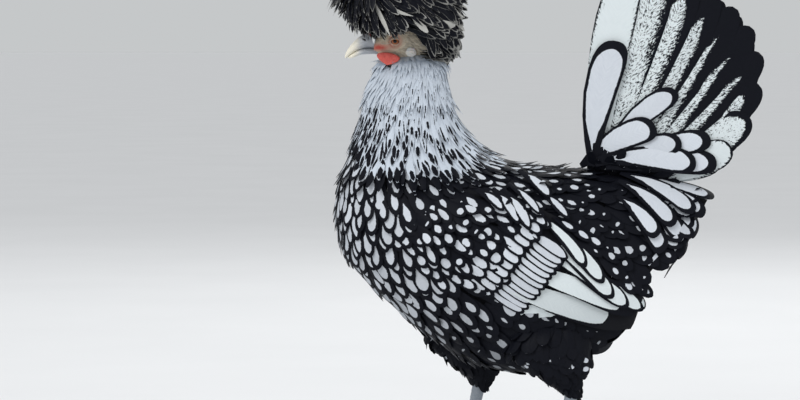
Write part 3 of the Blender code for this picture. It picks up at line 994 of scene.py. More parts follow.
def before_hind_edge(point):
    edge = np.array(HIND_EDGE)
    return point[:, 0] < np.interp(point[:, 2], edge[:, 1], edge[:, 0])


def body_coat():
    dice = np.random.default_rng(11)
    lie = lie_on(on_body, *candidates(3.6, 15.9, BODY_TRIES, dice))
    root = lie["root"]
    over_fold = root[:, 2] > WING_FOLD[0] - WING_FOLD[1] * root[:, 0]
    margin = np.where(over_fold, WING_MARGIN + 0.4 * (root[:, 0] > -10), 0.1)
    covered = wing_cover(root[:, [0, 2]]) > margin
    kept = ~(covered & (np.abs(root[:, 1]) > 26))
    kept &= lie["place"] > NAPE_END + 0.5 * np.cos(lie["angle"])
    lie = chosen(lie, kept)
    direction, features = tract_mean(lie["root"], BODY_TRACTS)
    lie = led(lie, direction)
    order, lie = well_spaced(lie, *features[2:4])
    length, half, _, _, rim, cap, field_from = features[:, order]
    size = dice.uniform(0.88, 1.12, len(order))
    lie = turned(lie, dice.normal(0, radians(7), len(order)))
    longest = held_back(lie, length * size, before_hind_edge)
    facing_back = lie["out"][:, 0] > FACING_BACK
    loose = held_back(
        lie, length * size * REAR_SHARE, lambda point: before_hind_edge(point - REAR_SLACK)
    )
    longest = np.where(facing_back, np.maximum(longest, loose), longest)
    bends = {key: np.minimum(lie[key], REAR_BEND) for key in ("bend", "side_bend")}
    x, _, z = lie["root"].T
    edge_on = np.clip((-150 - x) / 15, 0, 1) + np.clip((z - 246) / 10, 0, 1)
    # Painted shade: the vanes' white is made darker towards the belly and at the front of the
    # breast, which lie in shade.
    painted_shade = np.interp(z, (105, 165, 245), (0.6, 0.2, 0.05)) + 0.1 * (x < -165)
    ahead_of_tail = np.clip((z - 246) / 6, 0, 1) * np.clip((x - 5) / 20, 0, 1)
    field_from = field_from + 0.25 * ahead_of_tail + 0.5 * facing_back * (z < 205)
    vanes = bed(
        {**lie, **bends},
        unwrapped(lie, 16),
        length=longest,
        half=half * size,
        rim=rim * dice.uniform(0.75, 1.35, len(order)),
        cap=cap * dice.uniform(0.8, 1.3, len(order)),
        field_from=np.clip(field_from + dice.normal(0, 0.08, len(order)), 0, 0.85),
        roll=dice.normal(0, 0.07, len(order)),
        lift=dice.uniform(-0.2, 0.5, len(order)) - 1.5 * edge_on - 1.6 * facing_back,
        sweep=dice.normal(0, 0.8, len(order)),
        skew=dice.uniform(1.2, 2.4, len(order)),
        blunt=dice.uniform(1, 1.8, len(order)),
        ragged=dice.uniform(0.4, 0.8, len(order)),
        tone=dice.uniform(0.88, 1.02, len(order)) - painted_shade,
    )
    shortest = np.interp(z, *np.transpose(SHORTEST_VANES)) + 4 * (x > 88) * (z < 195)
    return chosen(vanes, longest > shortest)


BODY = body_coat()
behind = BODY["root"][:, 0] + BODY["root"][:, 2] * 0.55
for name, low, high, replaced in (
    ("coat_breast", -400, 40, ("trunk",)),
    ("coat_flank", 40, 150, ("trunk",)),
    ("coat_saddle", 150, 400, ("cushion",)),
):
    part = chosen(BODY, (behind >= low) & (behind < high))
    lay_vanes(name, part, LACED, replaced)


# %% [markdown]
# ## The folded wing
#
# The wing's lower half shows rows in a fixed order: long secondaries, then greater
# coverts as a bar of narrow white stripes, then median coverts as a second bar. The
# lesser coverts above them are small and only spotted, and long scapulars hang over
# the upper edge. Rows that can be counted in the photo are laid one by one, and the
# rest are scattered as on the body.

# %% The wing's rows
BARS = {
    # first and last tip; lie at both; how many; length, half; rim, cap; field from
    "greater": ((-21, 146), (13, 191), -30, -34, 12, 42, 5.6, 1.3, 2.4, 0.3),
    "median": ((-42, 164), (-3, 216), -33, -38, 10, 32, 5.6, 1.9, 2.8, 0.48),
}
SECONDARIES = (
    # tip x, z; lie; length, half; rim, cap; tone, which paints light and shade on single quills
    ((57, 113), -20, 92, 10, 11, 5, 0.85),
    ((63, 120), -20, 108, 13, 2.8, 16, 1.1),
    ((66, 136), -18, 108, 11, 2.2, 20, 0.9),
    ((70, 146), -22, 100, 9, 1.6, 14, 1),
)
TERTIALS = (
    # tip x, z; lie; length, half; rim, cap
    ((82, 147), -28, 66, 7, 2.2, 3.2),
    ((76, 147.5), -30, 66, 7.5, 2.2, 3.4),
    ((63, 151), -35, 64, 8.5, 2.4, 3.6),
    ((51, 159), -43, 60, 8.5, 2.6, 3.8),
    ((42.5, 170.5), -48, 56, 8, 2.8, 3.8),
    ((28, 184), -52, 46, 7, 3, 4),
)
SCAPULARS = (
    # tip x, z; lie; length, half; rim
    ((-26, 217), -54, 36, 5.2, 1.8),
    ((-16, 213), -56, 40, 5.4, 1.8),
    ((0, 237), -42, 34, 6, 2),
    ((-9, 224), -46, 36, 5, 2),
    ((-38, 228), -40, 28, 5, 2.2),
    ((14, 222), -46, 32, 5.6, 2.6),
)
ROW_JITTER = 0.9


def sides_of(makers):
    """The vanes that the makers lay on both sides, as one bed."""
    return together(*[make(side) for side in SIDES.values() for make in makers])


def covert_bar(name):
    first, last, low_lie, top_lie, count, length, half, rim, cap, start = BARS[name]

    def make(side):
        dice = np.random.default_rng(count + side)
        share = np.linspace(0, 1, count)
        tip = np.outer(1 - share, first) + np.outer(share, last)
        tip += dice.normal(0, ROW_JITTER / 2, tip.shape)
        lie = FLANK.laid(side, tip, low_lie + (top_lie - low_lie) * share, length)
        return bed(
            lie,
            wing_unwrap(side, lie.pop("flat")),
            half=half * dice.uniform(0.95, 1.08, count),
            rim=rim,
            cap=cap * dice.uniform(0.9, 1.3, count),
            field_from=start,
            skew=1,
            blunt=2.4,
            roll=side * 0.14,
            depth=3.2,
            lift=0.6,
            bow=-side * 1.5,
            tone=dice.uniform(0.92, 1.03, count),
        )

    return make


def listed(rows, keys, seed, roll=0.12, **usual):
    """Vanes from a list: tip, lie and length, then the named features."""

    def make(side):
        dice = np.random.default_rng(seed + side)
        tips, lies, lengths, *features = zip(*rows)
        tips = np.array(tips) + dice.normal(0, ROW_JITTER / 3, (len(rows), 2))
        lie = FLANK.laid(side, tips, lies, lengths)
        unwrap = wing_unwrap(side, lie.pop("flat"))
        named = dict(zip(keys, features))
        return bed(lie, unwrap, **named, **{"roll": side * roll, "bow": -2 * side, **usual})

    return make


QUILL_ROWS = [
    listed(
        SECONDARIES, ("half", "rim", "cap", "tone"), 5,
        field_stem=0.8, sharp=0.4, field_sharp=0.3, belly=0.75, depth=3, lift=-1.2,
        ragged=0.35, camber=0.1, thick=0.6, roll=0.2,
    ),
    listed(
        TERTIALS, ("half", "rim", "cap"), 6,
        field_stem=0.5, field_belly=0.8, depth=3, lift=0.4, camber=0.1, thick=0.5,
    ),
]
lay_vanes(
    "wing_quills",
    sides_of(QUILL_ROWS),
    QUILL,
    ("wing_left", "wing_right"),
    QUILL_STOPS,
)
COVERT_ROWS = [
    covert_bar("greater"),
    covert_bar("median"),
    listed(
        SCAPULARS, ("half", "rim"), 7,
        cap=2.6, depth=-0.4, lift=2.2, field_from=0.25, skew=1.6, blunt=2.2, ragged=0.6,
    ),
]

# %% The lesser coverts
LESSER_TRACTS = {
    "wrist": (-112, 222, -52, 22, 5.2, 8.5, 8, 2.7, 3.4, 0.55),
    "bend": (-108, 200, -46, 24, 5.6, 9, 8.5, 2.8, 3.4, 0.5),
    "low": (-80, 182, -36, 26, 6, 10, 9, 2.6, 3.4, 0.45),
    "middle": (-70, 208, -40, 22, 5.4, 9, 8.5, 2.7, 3.2, 0.6),
    "high": (-50, 228, -40, 24, 5.4, 9.5, 9, 2.8, 3.2, 0.58),
    "bar": (-42, 196, -36, 25, 5.6, 9.5, 8.6, 2.2, 3, 0.52),
    "lower_edge": (-50, 160, -28, 30, 6.4, 11, 10, 2.6, 3.6, 0.4),
    "under": (0, 128, -18, 34, 6.4, 12, 11, 3.4, 5, 0.8),
    "upper_edge": (0, 212, -44, 26, 5.6, 10, 9, 3.2, 3.8, 0.6),
    "hind": (40, 186, -44, 28, 6, 10, 10, 4.2, 5, 0.7),
}
LESSER_TRIES = 20000
BAR_FRONT = ((-33, 141), (9, 205))
QUILL_EDGE = (-24, 147, 129, 0.377)  # front x; top z; the lower edge's z at 0 and fall


def before_bars(flat):
    """True in front of the greater coverts, where the lesser ones grow."""
    (x1, z1), (x2, z2) = BAR_FRONT
    across = (flat[:, 0] - x1) * (z2 - z1) - (flat[:, 1] - z1) * (x2 - x1)
    return across < 0


def lesser_coverts(side):
    dice = np.random.default_rng(21 + side)
    flat = dice.uniform((-132, 120), (84, 272), (LESSER_TRIES, 2))
    above_quills = flat[:, 1] > 229 - 0.85 * flat[:, 0]
    grown = before_bars(flat + (26, -16)) | above_quills
    flat = flat[(wing_cover(flat) > 0.02) & grown]
    flat = flat[np.argsort(flat[:, 0] - flat[:, 1])]
    lie = {"root": FLANK.point(side, flat), "out": FLANK.outward(side, flat)}
    direction, features = tract_mean(lie["root"], LESSER_TRACTS)
    lie["along"] = direction
    lie = led(lie, direction)
    order, lie = well_spaced(lie, *features[2:4])
    length, half, _, _, rim, cap, field_from = features[:, order]
    count = len(order)
    size = dice.uniform(0.88, 1.12, count)
    lie = turned(lie, dice.normal(0, radians(6), count))
    tip = flat[order] + lie["along"][:, [0, 2]] * length[:, None]
    over_quills = (tip[:, 0] > QUILL_EDGE[0]) & (tip[:, 1] < QUILL_EDGE[1])
    over_quills &= tip @ (QUILL_EDGE[3], 1) > QUILL_EDGE[2]
    over_bars = ~before_bars(tip + (10, -5)) & (flat[order] @ (0.85, 1) < 229)
    vanes = bed(
        lie,
        wing_unwrap(side, flat[order]),
        length=length * size,
        half=half * size,
        rim=rim * dice.uniform(0.75, 1.25, count),
        cap=cap * dice.uniform(0.8, 1.2, count),
        field_from=np.clip(field_from + dice.normal(-0.05, 0.12, count), 0.1, 0.8),
        skew=dice.uniform(0.9, 1.7, count),
        blunt=dice.uniform(1, 2.4, count),
        ragged=dice.uniform(0.4, 0.9, count),
        bend=0.006,
        side_bend=0.01,
        roll=dice.normal(0, 0.08, count),
        depth=3.6,
        lift=dice.uniform(0.2, 1.6, count),
        tone=dice.uniform(0.9, 1.04, count),
    )
    return chosen(vanes, ~(over_quills | over_bars))


COVERTS = sides_of(COVERT_ROWS + [lesser_coverts])
lay_vanes("wing_coverts", COVERTS, LACED, ("wing_left", "wing_right"))

# %% [markdown]
# ## Neck and hackle
#
# The neck's feathers are short and soft below the head and grow into the pointed
# hackle, which falls over the shoulders like a cape. In a hen of this colour the upper
# hackle is white, with thin black dashes that widen downwards into black drops. So
# here the field is black and its frame is white.

# %% The hackle
HACKLE_STAGES = (
    # place; length, half; gaps along, across; black drop's half width, length
    (0.0, 11, 1.4, 2.6, 1.7, 0, 0),
    (1.0, 16, 1.7, 3.4, 2.1, 0.15, 3),
    (1.7, 22, 2, 4.6, 3, 0.4, 6),
    (2.5, 27, 2.4, 5.8, 3.8, 0.7, 9),
    (3.4, 31, 2.9, 6.8, 4.6, 1.2, 12),
    (4.1, 33, 3.4, 7.8, 5.2, 1.9, 14),
    (4.6, 33, 3.8, 8, 5.6, 3.9, 14),
    (5.2, 33, 3.8, 8, 5.6, 4.4, 13),
)
HACKLE_TRIES = 60000
FRONT_DARKER = 0.75
WATTLE = (-129, 349)


def hackle_coat():
    dice = np.random.default_rng(31)
    place, angle = candidates(0.1, 5.3, HACKLE_TRIES, dice)
    end = 4.4 + 0.6 * np.cos(angle) - 0.3 * np.cos(2 * angle)
    start = 0.1 + dice.uniform(0, 0.35, HACKLE_TRIES)
    grown = (place > start) & (place < end)
    lie = lie_on(on_body, place[grown], angle[grown])
    x, y, z = lie["root"].T
    clear = (np.hypot(x - WATTLE[0], z - WATTLE[1]) > 5) | (np.abs(y) < 8)
    lie = chosen(lie, clear)
    stages = np.array(HACKLE_STAGES)
    features = [
        np.interp(lie["place"], stages[:, 0], column) for column in stages[:, 1:].T
    ]
    order, lie = well_spaced(lie, *features[2:4])
    place, angle = lie["place"], lie["angle"]
    length, half, _, _, drop, run = (values[order] for values in features)
    count = len(order)
    frontal = np.clip(-np.cos(angle), 0, 1) * np.clip(place - 1.7, 0, 1.4)
    throat = np.clip(-np.cos(angle), 0, 1) * np.clip(1.8 - place, 0, 1)
    drop = drop - 0.5 * np.clip(-2 * np.cos(angle), 0, 1) * np.clip(2.2 - place, 0, 1)
    even = np.interp(place, (3.6, 4.3), (0.5, 1))
    drop = (drop + FRONT_DARKER * frontal) * dice.uniform(even, 1.5, count)
    run = (run + 4 * frontal) * dice.uniform(0.7, 1.4, count)
    size = dice.uniform(0.9, 1.15, count)
    length, half = length * size * (1 - 0.2 * frontal), half * size * (1 + 0.35 * throat)
    lie = turned(lie, dice.normal(0, radians(5), count))
    marked = drop > 0.2
    return bed(
        lie,
        unwrapped(lie, 5.4),
        length=length,
        half=half,
        rim=np.where(marked, half - drop, half * 2),
        cap=np.interp(place, (1, 3.2, 4.2), (3, 1.4, 0)) * dice.uniform(0.3, 1.3, count),
        field_from=np.where(marked, np.clip(1 - (run + 2) / length, 0.05, 0.9), 1),
        field_stem=0.35,
        field_belly=np.interp(place, (2, 4), (0.85, 0.97)),
        inside=-1,
        sharp=np.interp(place, (2, 4), (1.1, 0.75)),
        belly=np.interp(place, (2, 4), (0.4, 0.55)),
        depth=np.interp(place, (0, 3), (2, 3.6)),
        lift=dice.uniform(-0.2, 0.7, count) + 1.2 * throat - 1.3 * frontal,
        sweep=dice.normal(0, 0.8, count),
        roll=dice.normal(0, 0.1, count),
        ragged=0.5,
        camber=np.interp(place, (2, 4), (0.06, 0.2)),
        tone=dice.uniform(0.93, 1.05, count),
    )


lay_vanes("coat_hackle", hackle_coat(), HACKLE, ("neck",))

# %% [markdown]
# ## The tail
#
# Each half of the tail is a fan of long quills, the front pair almost upright and the
# last almost level, and the two halves stand together like a tent. Rounded coverts
# overlap its lower half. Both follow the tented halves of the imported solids, whose
# edge is worked out here once more from the same few sizes.

# %% The fan
TAIL_CENTRE = (36, 255)
TAIL_ROOTS = ((35, 261.6), (98, 250.4))
TAIL_ANGLES = (86, 3)
TAIL_LONG = 181
TAIL_SHORT = 98
TAIL_EVEN_SHARE = 0.46
TAIL_SHORTENING_CURVE = 1.5
TAIL_SPLAY = (1.5, 17)
TAIL_SPLAY_CURVE = 1.6
TAIL_PARTING = 0.5
TAIL_HALF_THICKNESS = (4.5, 0.6)


def tail_edge(share):
    """Root, tip and lean of the fan in side view, the front edge at share 0."""
    share = np.asarray(share, float)[..., None]
    root = np.array(TAIL_ROOTS[0]) * (1 - share) + np.array(TAIL_ROOTS[1]) * share
    angle = np.radians(TAIL_ANGLES[0] + (TAIL_ANGLES[1] - TAIL_ANGLES[0]) * share)
    past = np.clip((share - TAIL_EVEN_SHARE) / (1 - TAIL_EVEN_SHARE), 0, 1)
    reach = TAIL_LONG - (TAIL_LONG - TAIL_SHORT) * past**TAIL_SHORTENING_CURVE
    tip = TAIL_CENTRE + np.concatenate([np.cos(angle), np.sin(angle)], -1) * reach
    low, high = TAIL_SPLAY
    return root, tip, np.radians(low + (high - low) * np.maximum(share, 0) ** TAIL_SPLAY_CURVE)


def on_fan(share, along):
    """The fan's outer surface at arrays of shares across and along it."""
    root, tip, lean = tail_edge(share)
    flat = root + (tip - root) * along[..., None]
    reach = np.linalg.norm(tip - root, axis=-1) * along
    thick, thin = TAIL_HALF_THICKNESS
    half = thin + (thick - thin) * (1 - along) ** 2
    out = TAIL_PARTING + 2 * half + reach * np.sin(lean[..., 0])
    return np.stack([flat[..., 0], out, flat[..., 1]], -1)


FAN = Relief((-30, 190), (210, 460), on_fan(*np.meshgrid(
    np.linspace(-0.06, 1.06, MAP_SAMPLES // 2), np.linspace(0, 1.05, MAP_SAMPLES // 2)
)))
print("tail halves stand out:", round(FAN.heights.max()), "mm")

# %% Main tail feathers
MAIN_FEATHERS = (
    # share across; half; white field: half width, shift, pointed end; clear; tip; lift
    (0.075, 16.5, 15, 0, 0.4, 2.6, 3, -0.5),
    (0.185, 17, 14.5, 1.5, 0.5, 0.5, 8, -1),
    (0.28, 16, 11, 1, 0.6, 0.45, 16, -1.3),
    (0.36, 16, 9, -2, 0.8, 0.4, 22, -1.7),
    (0.435, 16, 8, -3, 0.9, 0.38, 26, -2.1),
    (0.515, 16, 7.6, -3, 1, 0.38, 30, -2.4),
    (0.6, 16, 8.2, -2.5, 0.9, 0.4, 24, -2.8),
    (0.69, 16, 10.5, 1, 0.75, 0.5, 15, -3.2),
    (0.785, 15.5, 13, 0, 0.6, 1, 5, -2.8),
    (0.89, 13, 12.3, 0.3, 0.45, 2, 1.6, -0.8),
)
MAIN_SHARE_OF_REACH = 0.985
LOW_SHORTENING = 0.085
FRONT_BOW = 7


def main_tail(side):
    dice = np.random.default_rng(41 + side)
    share, half, field, shift, pointed, clear, cap, lift = np.array(MAIN_FEATHERS).T
    share = np.clip(share + (0.035 if side > 0 else 0), 0, 0.97)
    root, tip, _ = tail_edge(share)
    shorter = LOW_SHORTENING * np.clip((share - 0.62) / 0.27, 0, 1)
    run = (tip - root) * (MAIN_SHARE_OF_REACH - shorter)[:, None]
    tip = root + run
    count = len(share)
    angle = np.degrees(np.arctan2(run[:, 1], run[:, 0]))
    lie = FAN.laid(side, tip, angle, np.linalg.norm(run, axis=-1))
    lie.pop("flat")
    return bed(
        lie,
        np.stack([share / 2 + (side > 0) / 2, 0 * share], -1),
        half=half,
        rim=half - field,
        shift=-side * shift,
        cap=cap,
        most=clear,
        field_from=0.13,
        pepper=1.7,
        ragged=1.1,
        field_stem=0.95,
        field_belly=np.where(pointed > 0.8, 0.3, 0.7),
        field_sharp=pointed,
        stem=0.22,
        belly=0.72,
        sharp=0.42,
        bow=-side * FRONT_BOW * (1 - share) ** 2,
        roll=side * 0.05,
        depth=1.5,
        lift=lift,
        camber=0.05,
        shaft=0.16,
        thick=0.9,
        tone=dice.uniform(0.92, 1.02, count),
    )


# %% Tail coverts
TAIL_COVERTS = (
    # tip x, z; lie; length, half; rim, cap; bow; height over the fan
    ((55, 366), 79, 104, 14.5, 2.6, 7, 5, 3.4),
    ((103, 323), 44, 86, 10, 1.8, 5, 6, 2.6),
    ((91, 298), 29, 70, 11.5, 2.2, 5.5, 5, 4.4),
    ((108, 283), 15, 72, 9.5, 2, 5, 3, 3.4),
    ((132, 286), 14, 84, 10, 2.2, 7, 3, 1.6),
    ((119, 264), -2, 82, 10.5, 2.2, 5, 4, 5.2),
    ((137, 264), 2, 90, 10.5, 2.4, 7, 3, 2.8),
)
CUSHION_COVERTS = (
    # tip x, z; lie; length, half; rim, cap; bow; height over the cushion
    ((134, 237), -14, 64, 9.5, 2.4, 6, 3, 1),
    ((118, 222), -29, 68, 9.5, 2.4, 5, 4, 4),
    ((100, 213), -40, 58, 8.5, 2.4, 5, 4, 4.4),
    ((87, 207), -47, 46, 8, 2.4, 4.6, 3, 4.6),
    ((127, 223), -27, 54, 9, 2.4, 6, 3, 2.2),
    ((122, 204), -42, 50, 8.5, 2.4, 5, 3, 1.8),
    ((109, 203), -44, 48, 8.5, 2.6, 5, 3, 2.4),
    ((91, 194), -50, 42, 8.5, 2.8, 5, 3, 2.8),
    ((113, 188), -50, 42, 8, 3, 6, 3, 0.4),
)


def fan_unwrap(side, flat):
    """Places round the tail's root and outwards, each side in its own half."""
    offset = np.asarray(flat, float) - TAIL_CENTRE
    turn = np.arctan2(offset[:, 1], offset[:, 0])
    reach = np.linalg.norm(offset, axis=-1)
    return np.stack([(turn / pi + 1) / 4 + (side > 0) / 2, reach / TAIL_LONG], -1)


def coverts(relief, rows, seed):
    def make(side):
        dice = np.random.default_rng(seed + side)
        tips, lies, lengths, half, rim, cap, bow, height = zip(*rows)
        tips = np.array(tips) + dice.normal(0, 1.2, (len(rows), 2))
        lie = relief.laid(side, tips, lies, lengths)
        return bed(
            lie,
            fan_unwrap(side, lie.pop("flat")),
            half=half,
            rim=rim,
            cap=cap,
            bow=-side * np.array(bow),
            depth=-np.array(height) * 0.3,
            lift=height,
            field_from=0.12,
            skew=1.5,
            blunt=2.4,
            stem=0.2,
            belly=0.8,
            sharp=0.36,
            ragged=0.5,
            camber=0.1,
            roll=side * 0.08,
            thick=0.6,
            tone=dice.uniform(0.93, 1.03, len(rows)),
        )

    return make


TAIL_ROOT_TRIES = 2500


def tail_root(side):
    """Short black feathers that hide the quills' roots."""
    dice = np.random.default_rng(47 + side)
    share, along = dice.uniform(0, 1, (2, TAIL_ROOT_TRIES))
    along = np.sort(along * (0.12 + 0.02 * share) - 0.08)
    root, tip, _ = tail_edge(share)
    flat = root + (tip - root) * along[:, None]
    lie = {"root": FAN.point(side, flat), "out": FAN.outward(side, flat)}
    run = unit(tip - root)
    lie["along"] = np.stack([run[:, 0], 0 * run[:, 0], run[:, 1]], -1)
    lie = led(lie, lie["along"])
    gap = np.full(TAIL_ROOT_TRIES, 7.0)
    order, lie = well_spaced(lie, gap, gap)
    return bed(
        turned(lie, dice.normal(0, radians(8), len(order))),
        fan_unwrap(side, flat[order]),
        length=dice.uniform(11, 19, len(order)),
        half=3.6,
        rim=5,
        field_from=1,
        sharp=0.9,
        depth=0.5,
        lift=dice.uniform(0, 0.8, len(order)),
    )


lay_vanes(
    "tail_quills",
    sides_of([main_tail]),
    QUILL,
    ("tail_left", "tail_right"),
    QUILL_STOPS,
)
TAIL_CLOTHING = [
    coverts(FAN, TAIL_COVERTS, 43),
    coverts(FLANK, CUSHION_COVERTS, 45),
    tail_root,
]
TAIL_FINE = ((0, 0.2, 0.4, 0.6, 0.8, 0.91, 0.97, 0.99, 1), (0.3, 0.6, 0.85, 1), (0,))
lay_vanes(
    "tail_coverts",
    sides_of(TAIL_CLOTHING),
    LACED,
    ("tail_left", "tail_right"),
    TAIL_FINE,
)

# %% [markdown]
# ## The crest
#
# A Polish fowl's crest grows from a knob on the skull: narrow feathers that rise, fall
# outwards all round and hide the eyes. Each is black with a pale edge, and a few are
# pale all over. They are laid on the crest's form, deeper at the root than the body's
# vanes, and their tips stand away from it, so that the outline is loose.

# %% The crest's vanes
CREST_TRIES = 40000
CREST_TRACTS = {
    # x, z; lie in degrees
    "brow": (-174, 400, -66),
    "front_low": (-160, 378, -50),
    "front_top": (-150, 438, -120),
    "middle": (-128, 402, -36),
    "middle_low": (-118, 380, -24),
    "crown": (-110, 442, -20),
    "back": (-80, 400, -36),
    "nape": (-88, 366, -52),
}
CREST_HEM = (
    # x, z of the lower edge, from the brow to the nape
    (-180, 394), (-176, 390), (-168, 382), (-162, 375), (-156, 371), (-149, 369.5),
    (-140, 367), (-126, 368),
    (-117, 370), (-112, 369), (-105, 361), (-97, 350), (-88, 346), (-78, 349), (-66, 362),
)
CREST_BACK = ((-77, 345), (-73, 356), (-70, 366), (-68, 390), (-60, 440))  # x, z
SHORTEST_CREST_VANES = ((-160, 12), (-125, 7), (-108, 8), (-90, 13))  # x; length
PALE_SHARE = 0.05


def above_hem(point):
    hem, back = np.array(CREST_HEM), np.array(CREST_BACK)
    before = point[:, 0] < np.interp(point[:, 2], back[:, 1], back[:, 0])
    return before & (point[:, 2] > np.interp(point[:, 0], hem[:, 0], hem[:, 1]))


def crest_coat():
    dice = np.random.default_rng(51)
    lie = lie_on(on_crest, *candidates(0.05, 7.9, CREST_TRIES, dice))
    lie["bend"] = np.clip(lie["bend"], -0.002, 0.012)
    lie["side_bend"] = np.clip(lie["side_bend"], -0.01, 0.03)
    table = np.array(list(CREST_TRACTS.values()), float)
    gap = np.hypot(*(lie["root"][:, None, [0, 2]] - table[:, :2]).transpose(2, 0, 1))
    weight = 1 / (gap + 6) ** 3
    turn = np.radians(table[:, 2])
    wish = weight @ np.stack([np.cos(turn), 0 * turn, np.sin(turn)], -1)
    lie = led(lie, unit(wish))
    length = np.interp(lie["place"], (0, 2, 5, 6.5, 8), (34, 40, 36, 28, 18))
    length *= dice.uniform(0.85, 1.15, CREST_TRIES)
    lie = turned(lie, dice.normal(0, radians(12), CREST_TRIES))
    slack = dice.uniform(-3, 2, CREST_TRIES)[:, None] * (0, 0, 1)
    length = held_back(lie, length, lambda point: above_hem(point - slack))
    kept = length > np.interp(lie["root"][:, 0], *np.transpose(SHORTEST_CREST_VANES))
    kept &= above_hem(lie["root"] - (0, 0, 3))
    lie, length = chosen(lie, kept), length[kept]
    gaps = np.interp(length, (8, 35), (4, 7)), np.interp(length, (8, 35), (2.8, 4.6))
    order, lie = well_spaced(lie, *gaps)
    length = length[order]
    count = len(order)
    x = lie["root"][:, 0]
    strand = dice.uniform(0, 1, count) < np.interp(x, (-178, -150, -110), (0.9, 0.7, 0.2))
    half = dice.uniform(2.6, 3.9, count) * np.interp(length, (8, 25), (0.6, 1))
    half = np.where(strand, half * 0.6, half)
    pale = dice.uniform(0, 1, count) < PALE_SHARE + 0.4 * (x > -82)
    edge = dice.uniform(0.05, 0.42, count) * np.interp(x, (-165, -130, -95), (0.1, 0.5, 1))
    return bed(
        lie,
        unwrapped(lie, 8),
        length=length,
        half=half,
        rim=np.where(pale, half * 2, edge),
        cap=dice.uniform(0.3, 1.4, count),
        field_from=np.where(pale, 1, -1),
        inside=-1,
        field_stem=0.6,
        field_belly=0.6,
        sharp=np.where(strand, 1, dice.uniform(0.42, 0.7, count)),
        belly=0.6,
        stem=0.35,
        depth=7,
        lift=dice.uniform(-0.5, 3.5, count) * np.interp(x, (-168, -140), (0.2, 1)),
        sweep=dice.normal(0, 2.5, count),
        bow=dice.normal(0, 1, count),
        roll=dice.normal(0, 0.2, count),
        camber=0.22,
        ragged=0.3,
        shaft=np.where(dice.uniform(0, 1, count) < 0.3, 0.3, -1),
        tone=np.where(pale, dice.uniform(0.6, 0.9, count), dice.uniform(0.15, 0.55, count)),
    )


CREST_BED = crest_coat()
high = CREST_BED["root"][:, 2] > 405
for name, which in (("crest_crown", high), ("crest_fall", ~high)):
    lay_vanes(name, chosen(CREST_BED, which), CREST, ("crest",))

# %% [markdown]
# ## Lofted forms
#
# The skin, legs, claws and bill are closed forms along a line. Each is grown as by
# hand: a disk is added, its face extruded ring by ring, and each new ring set on the
# form's own points. Numbers decide where the rings lie, so one helper serves them all.


# %% Growing a form ring by ring
def select_only(piece):
    bpy.ops.object.select_all(action="DESELECT")
    piece.select_set(True)
    bpy.context.view_layer.objects.active = piece


def edit_all(piece, command, **settings):
    """Runs one of Blender's edit commands on the whole of a piece."""
    select_only(piece)
    bpy.ops.object.mode_set(mode="EDIT")
    bpy.ops.mesh.select_all(action="SELECT")
    command(**settings)
    bpy.ops.object.mode_set(mode="OBJECT")


def face_outwards(piece):
    edit_all(piece, bpy.ops.mesh.normals_make_consistent, inside=False)


def grow(name, rings):
    """A closed form through rings of points in millimetres."""
    circle = bpy.ops.mesh.primitive_circle_add
    piece = added(name, circle, vertices=len(rings[0]), fill_type="NGON")
    piece.data.name = name
    bpy.ops.object.mode_set(mode="EDIT")
    for index, ring in enumerate(rings):
        if index:
            bpy.ops.mesh.extrude_region_move()
        shape = bmesh.from_edit_mesh(piece.data)
        cap = next(face for face in shape.faces if face.select)
        for vertex, point in zip(cap.verts, ring):
            vertex.co = Vector(point) * MM
        bmesh.update_edit_mesh(piece.data)
    bpy.ops.object.mode_set(mode="OBJECT")
    face_outwards(piece)
    return piece


def shrink(piece, depth):
    """Draws a form in by the depth of the coat over it."""
    edit_all(
        piece, bpy.ops.transform.shrink_fatten, value=-depth * MM, use_even_offset=False
    )


def apply_all(piece):
    select_only(piece)
    for modifier in list(piece.modifiers):
        bpy.ops.object.modifier_apply(modifier=modifier.name)


def finish_piece(piece, finish, replaced, smooth=40):
    select_only(piece)
    bpy.ops.object.shade_smooth_by_angle(angle=radians(smooth))
    piece.data.materials.clear()
    piece.data.materials.append(finish)
    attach(piece, "root")
    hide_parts(*replaced)
    print(piece.name, "faces:", len(piece.data.polygons))


def ring_stack(point_at, stops, count):
    """Rings of a form, with count points each, at the places given."""
    turn = np.linspace(0, 2 * pi, count, endpoint=False)
    place, angle = np.meshgrid(stops, turn, indexing="ij")
    return point_at(place.ravel(), angle.ravel()).reshape(len(stops), count, 3)


def pipe_rings(path, radii, side, count, relief=None):
    """Rings round a path; relief gives millimetres to add from length and angle."""
    path = np.asarray(path, float)
    ahead = unit(np.gradient(path, axis=0))
    side = np.asarray(side, float)
    upward = unit(np.cross(side, ahead))
    turn = np.linspace(0, 2 * pi, count, endpoint=False)
    step = np.linalg.norm(np.diff(path, axis=0), axis=-1)
    run = np.concatenate([[0], np.cumsum(step)])[:, None]
    radii = np.asarray(radii, float)[:, None]
    if relief:
        radii = radii + relief(run, turn)
    else:
        radii = radii + 0 * turn
    spoke = upward[:, None] * np.cos(turn)[:, None] + side * np.sin(turn)[:, None]
    return path[:, None] + spoke * radii[..., None]


# %% [markdown]
# ## Legs and feet
#
# A fowl's shank is sheathed in scutes: broad plates that overlap downwards, in two
# rows down the front and one along the top of each toe. They are thicker at their
# lower edge, so a saw-tooth added to the radius gives the plates as geometry.

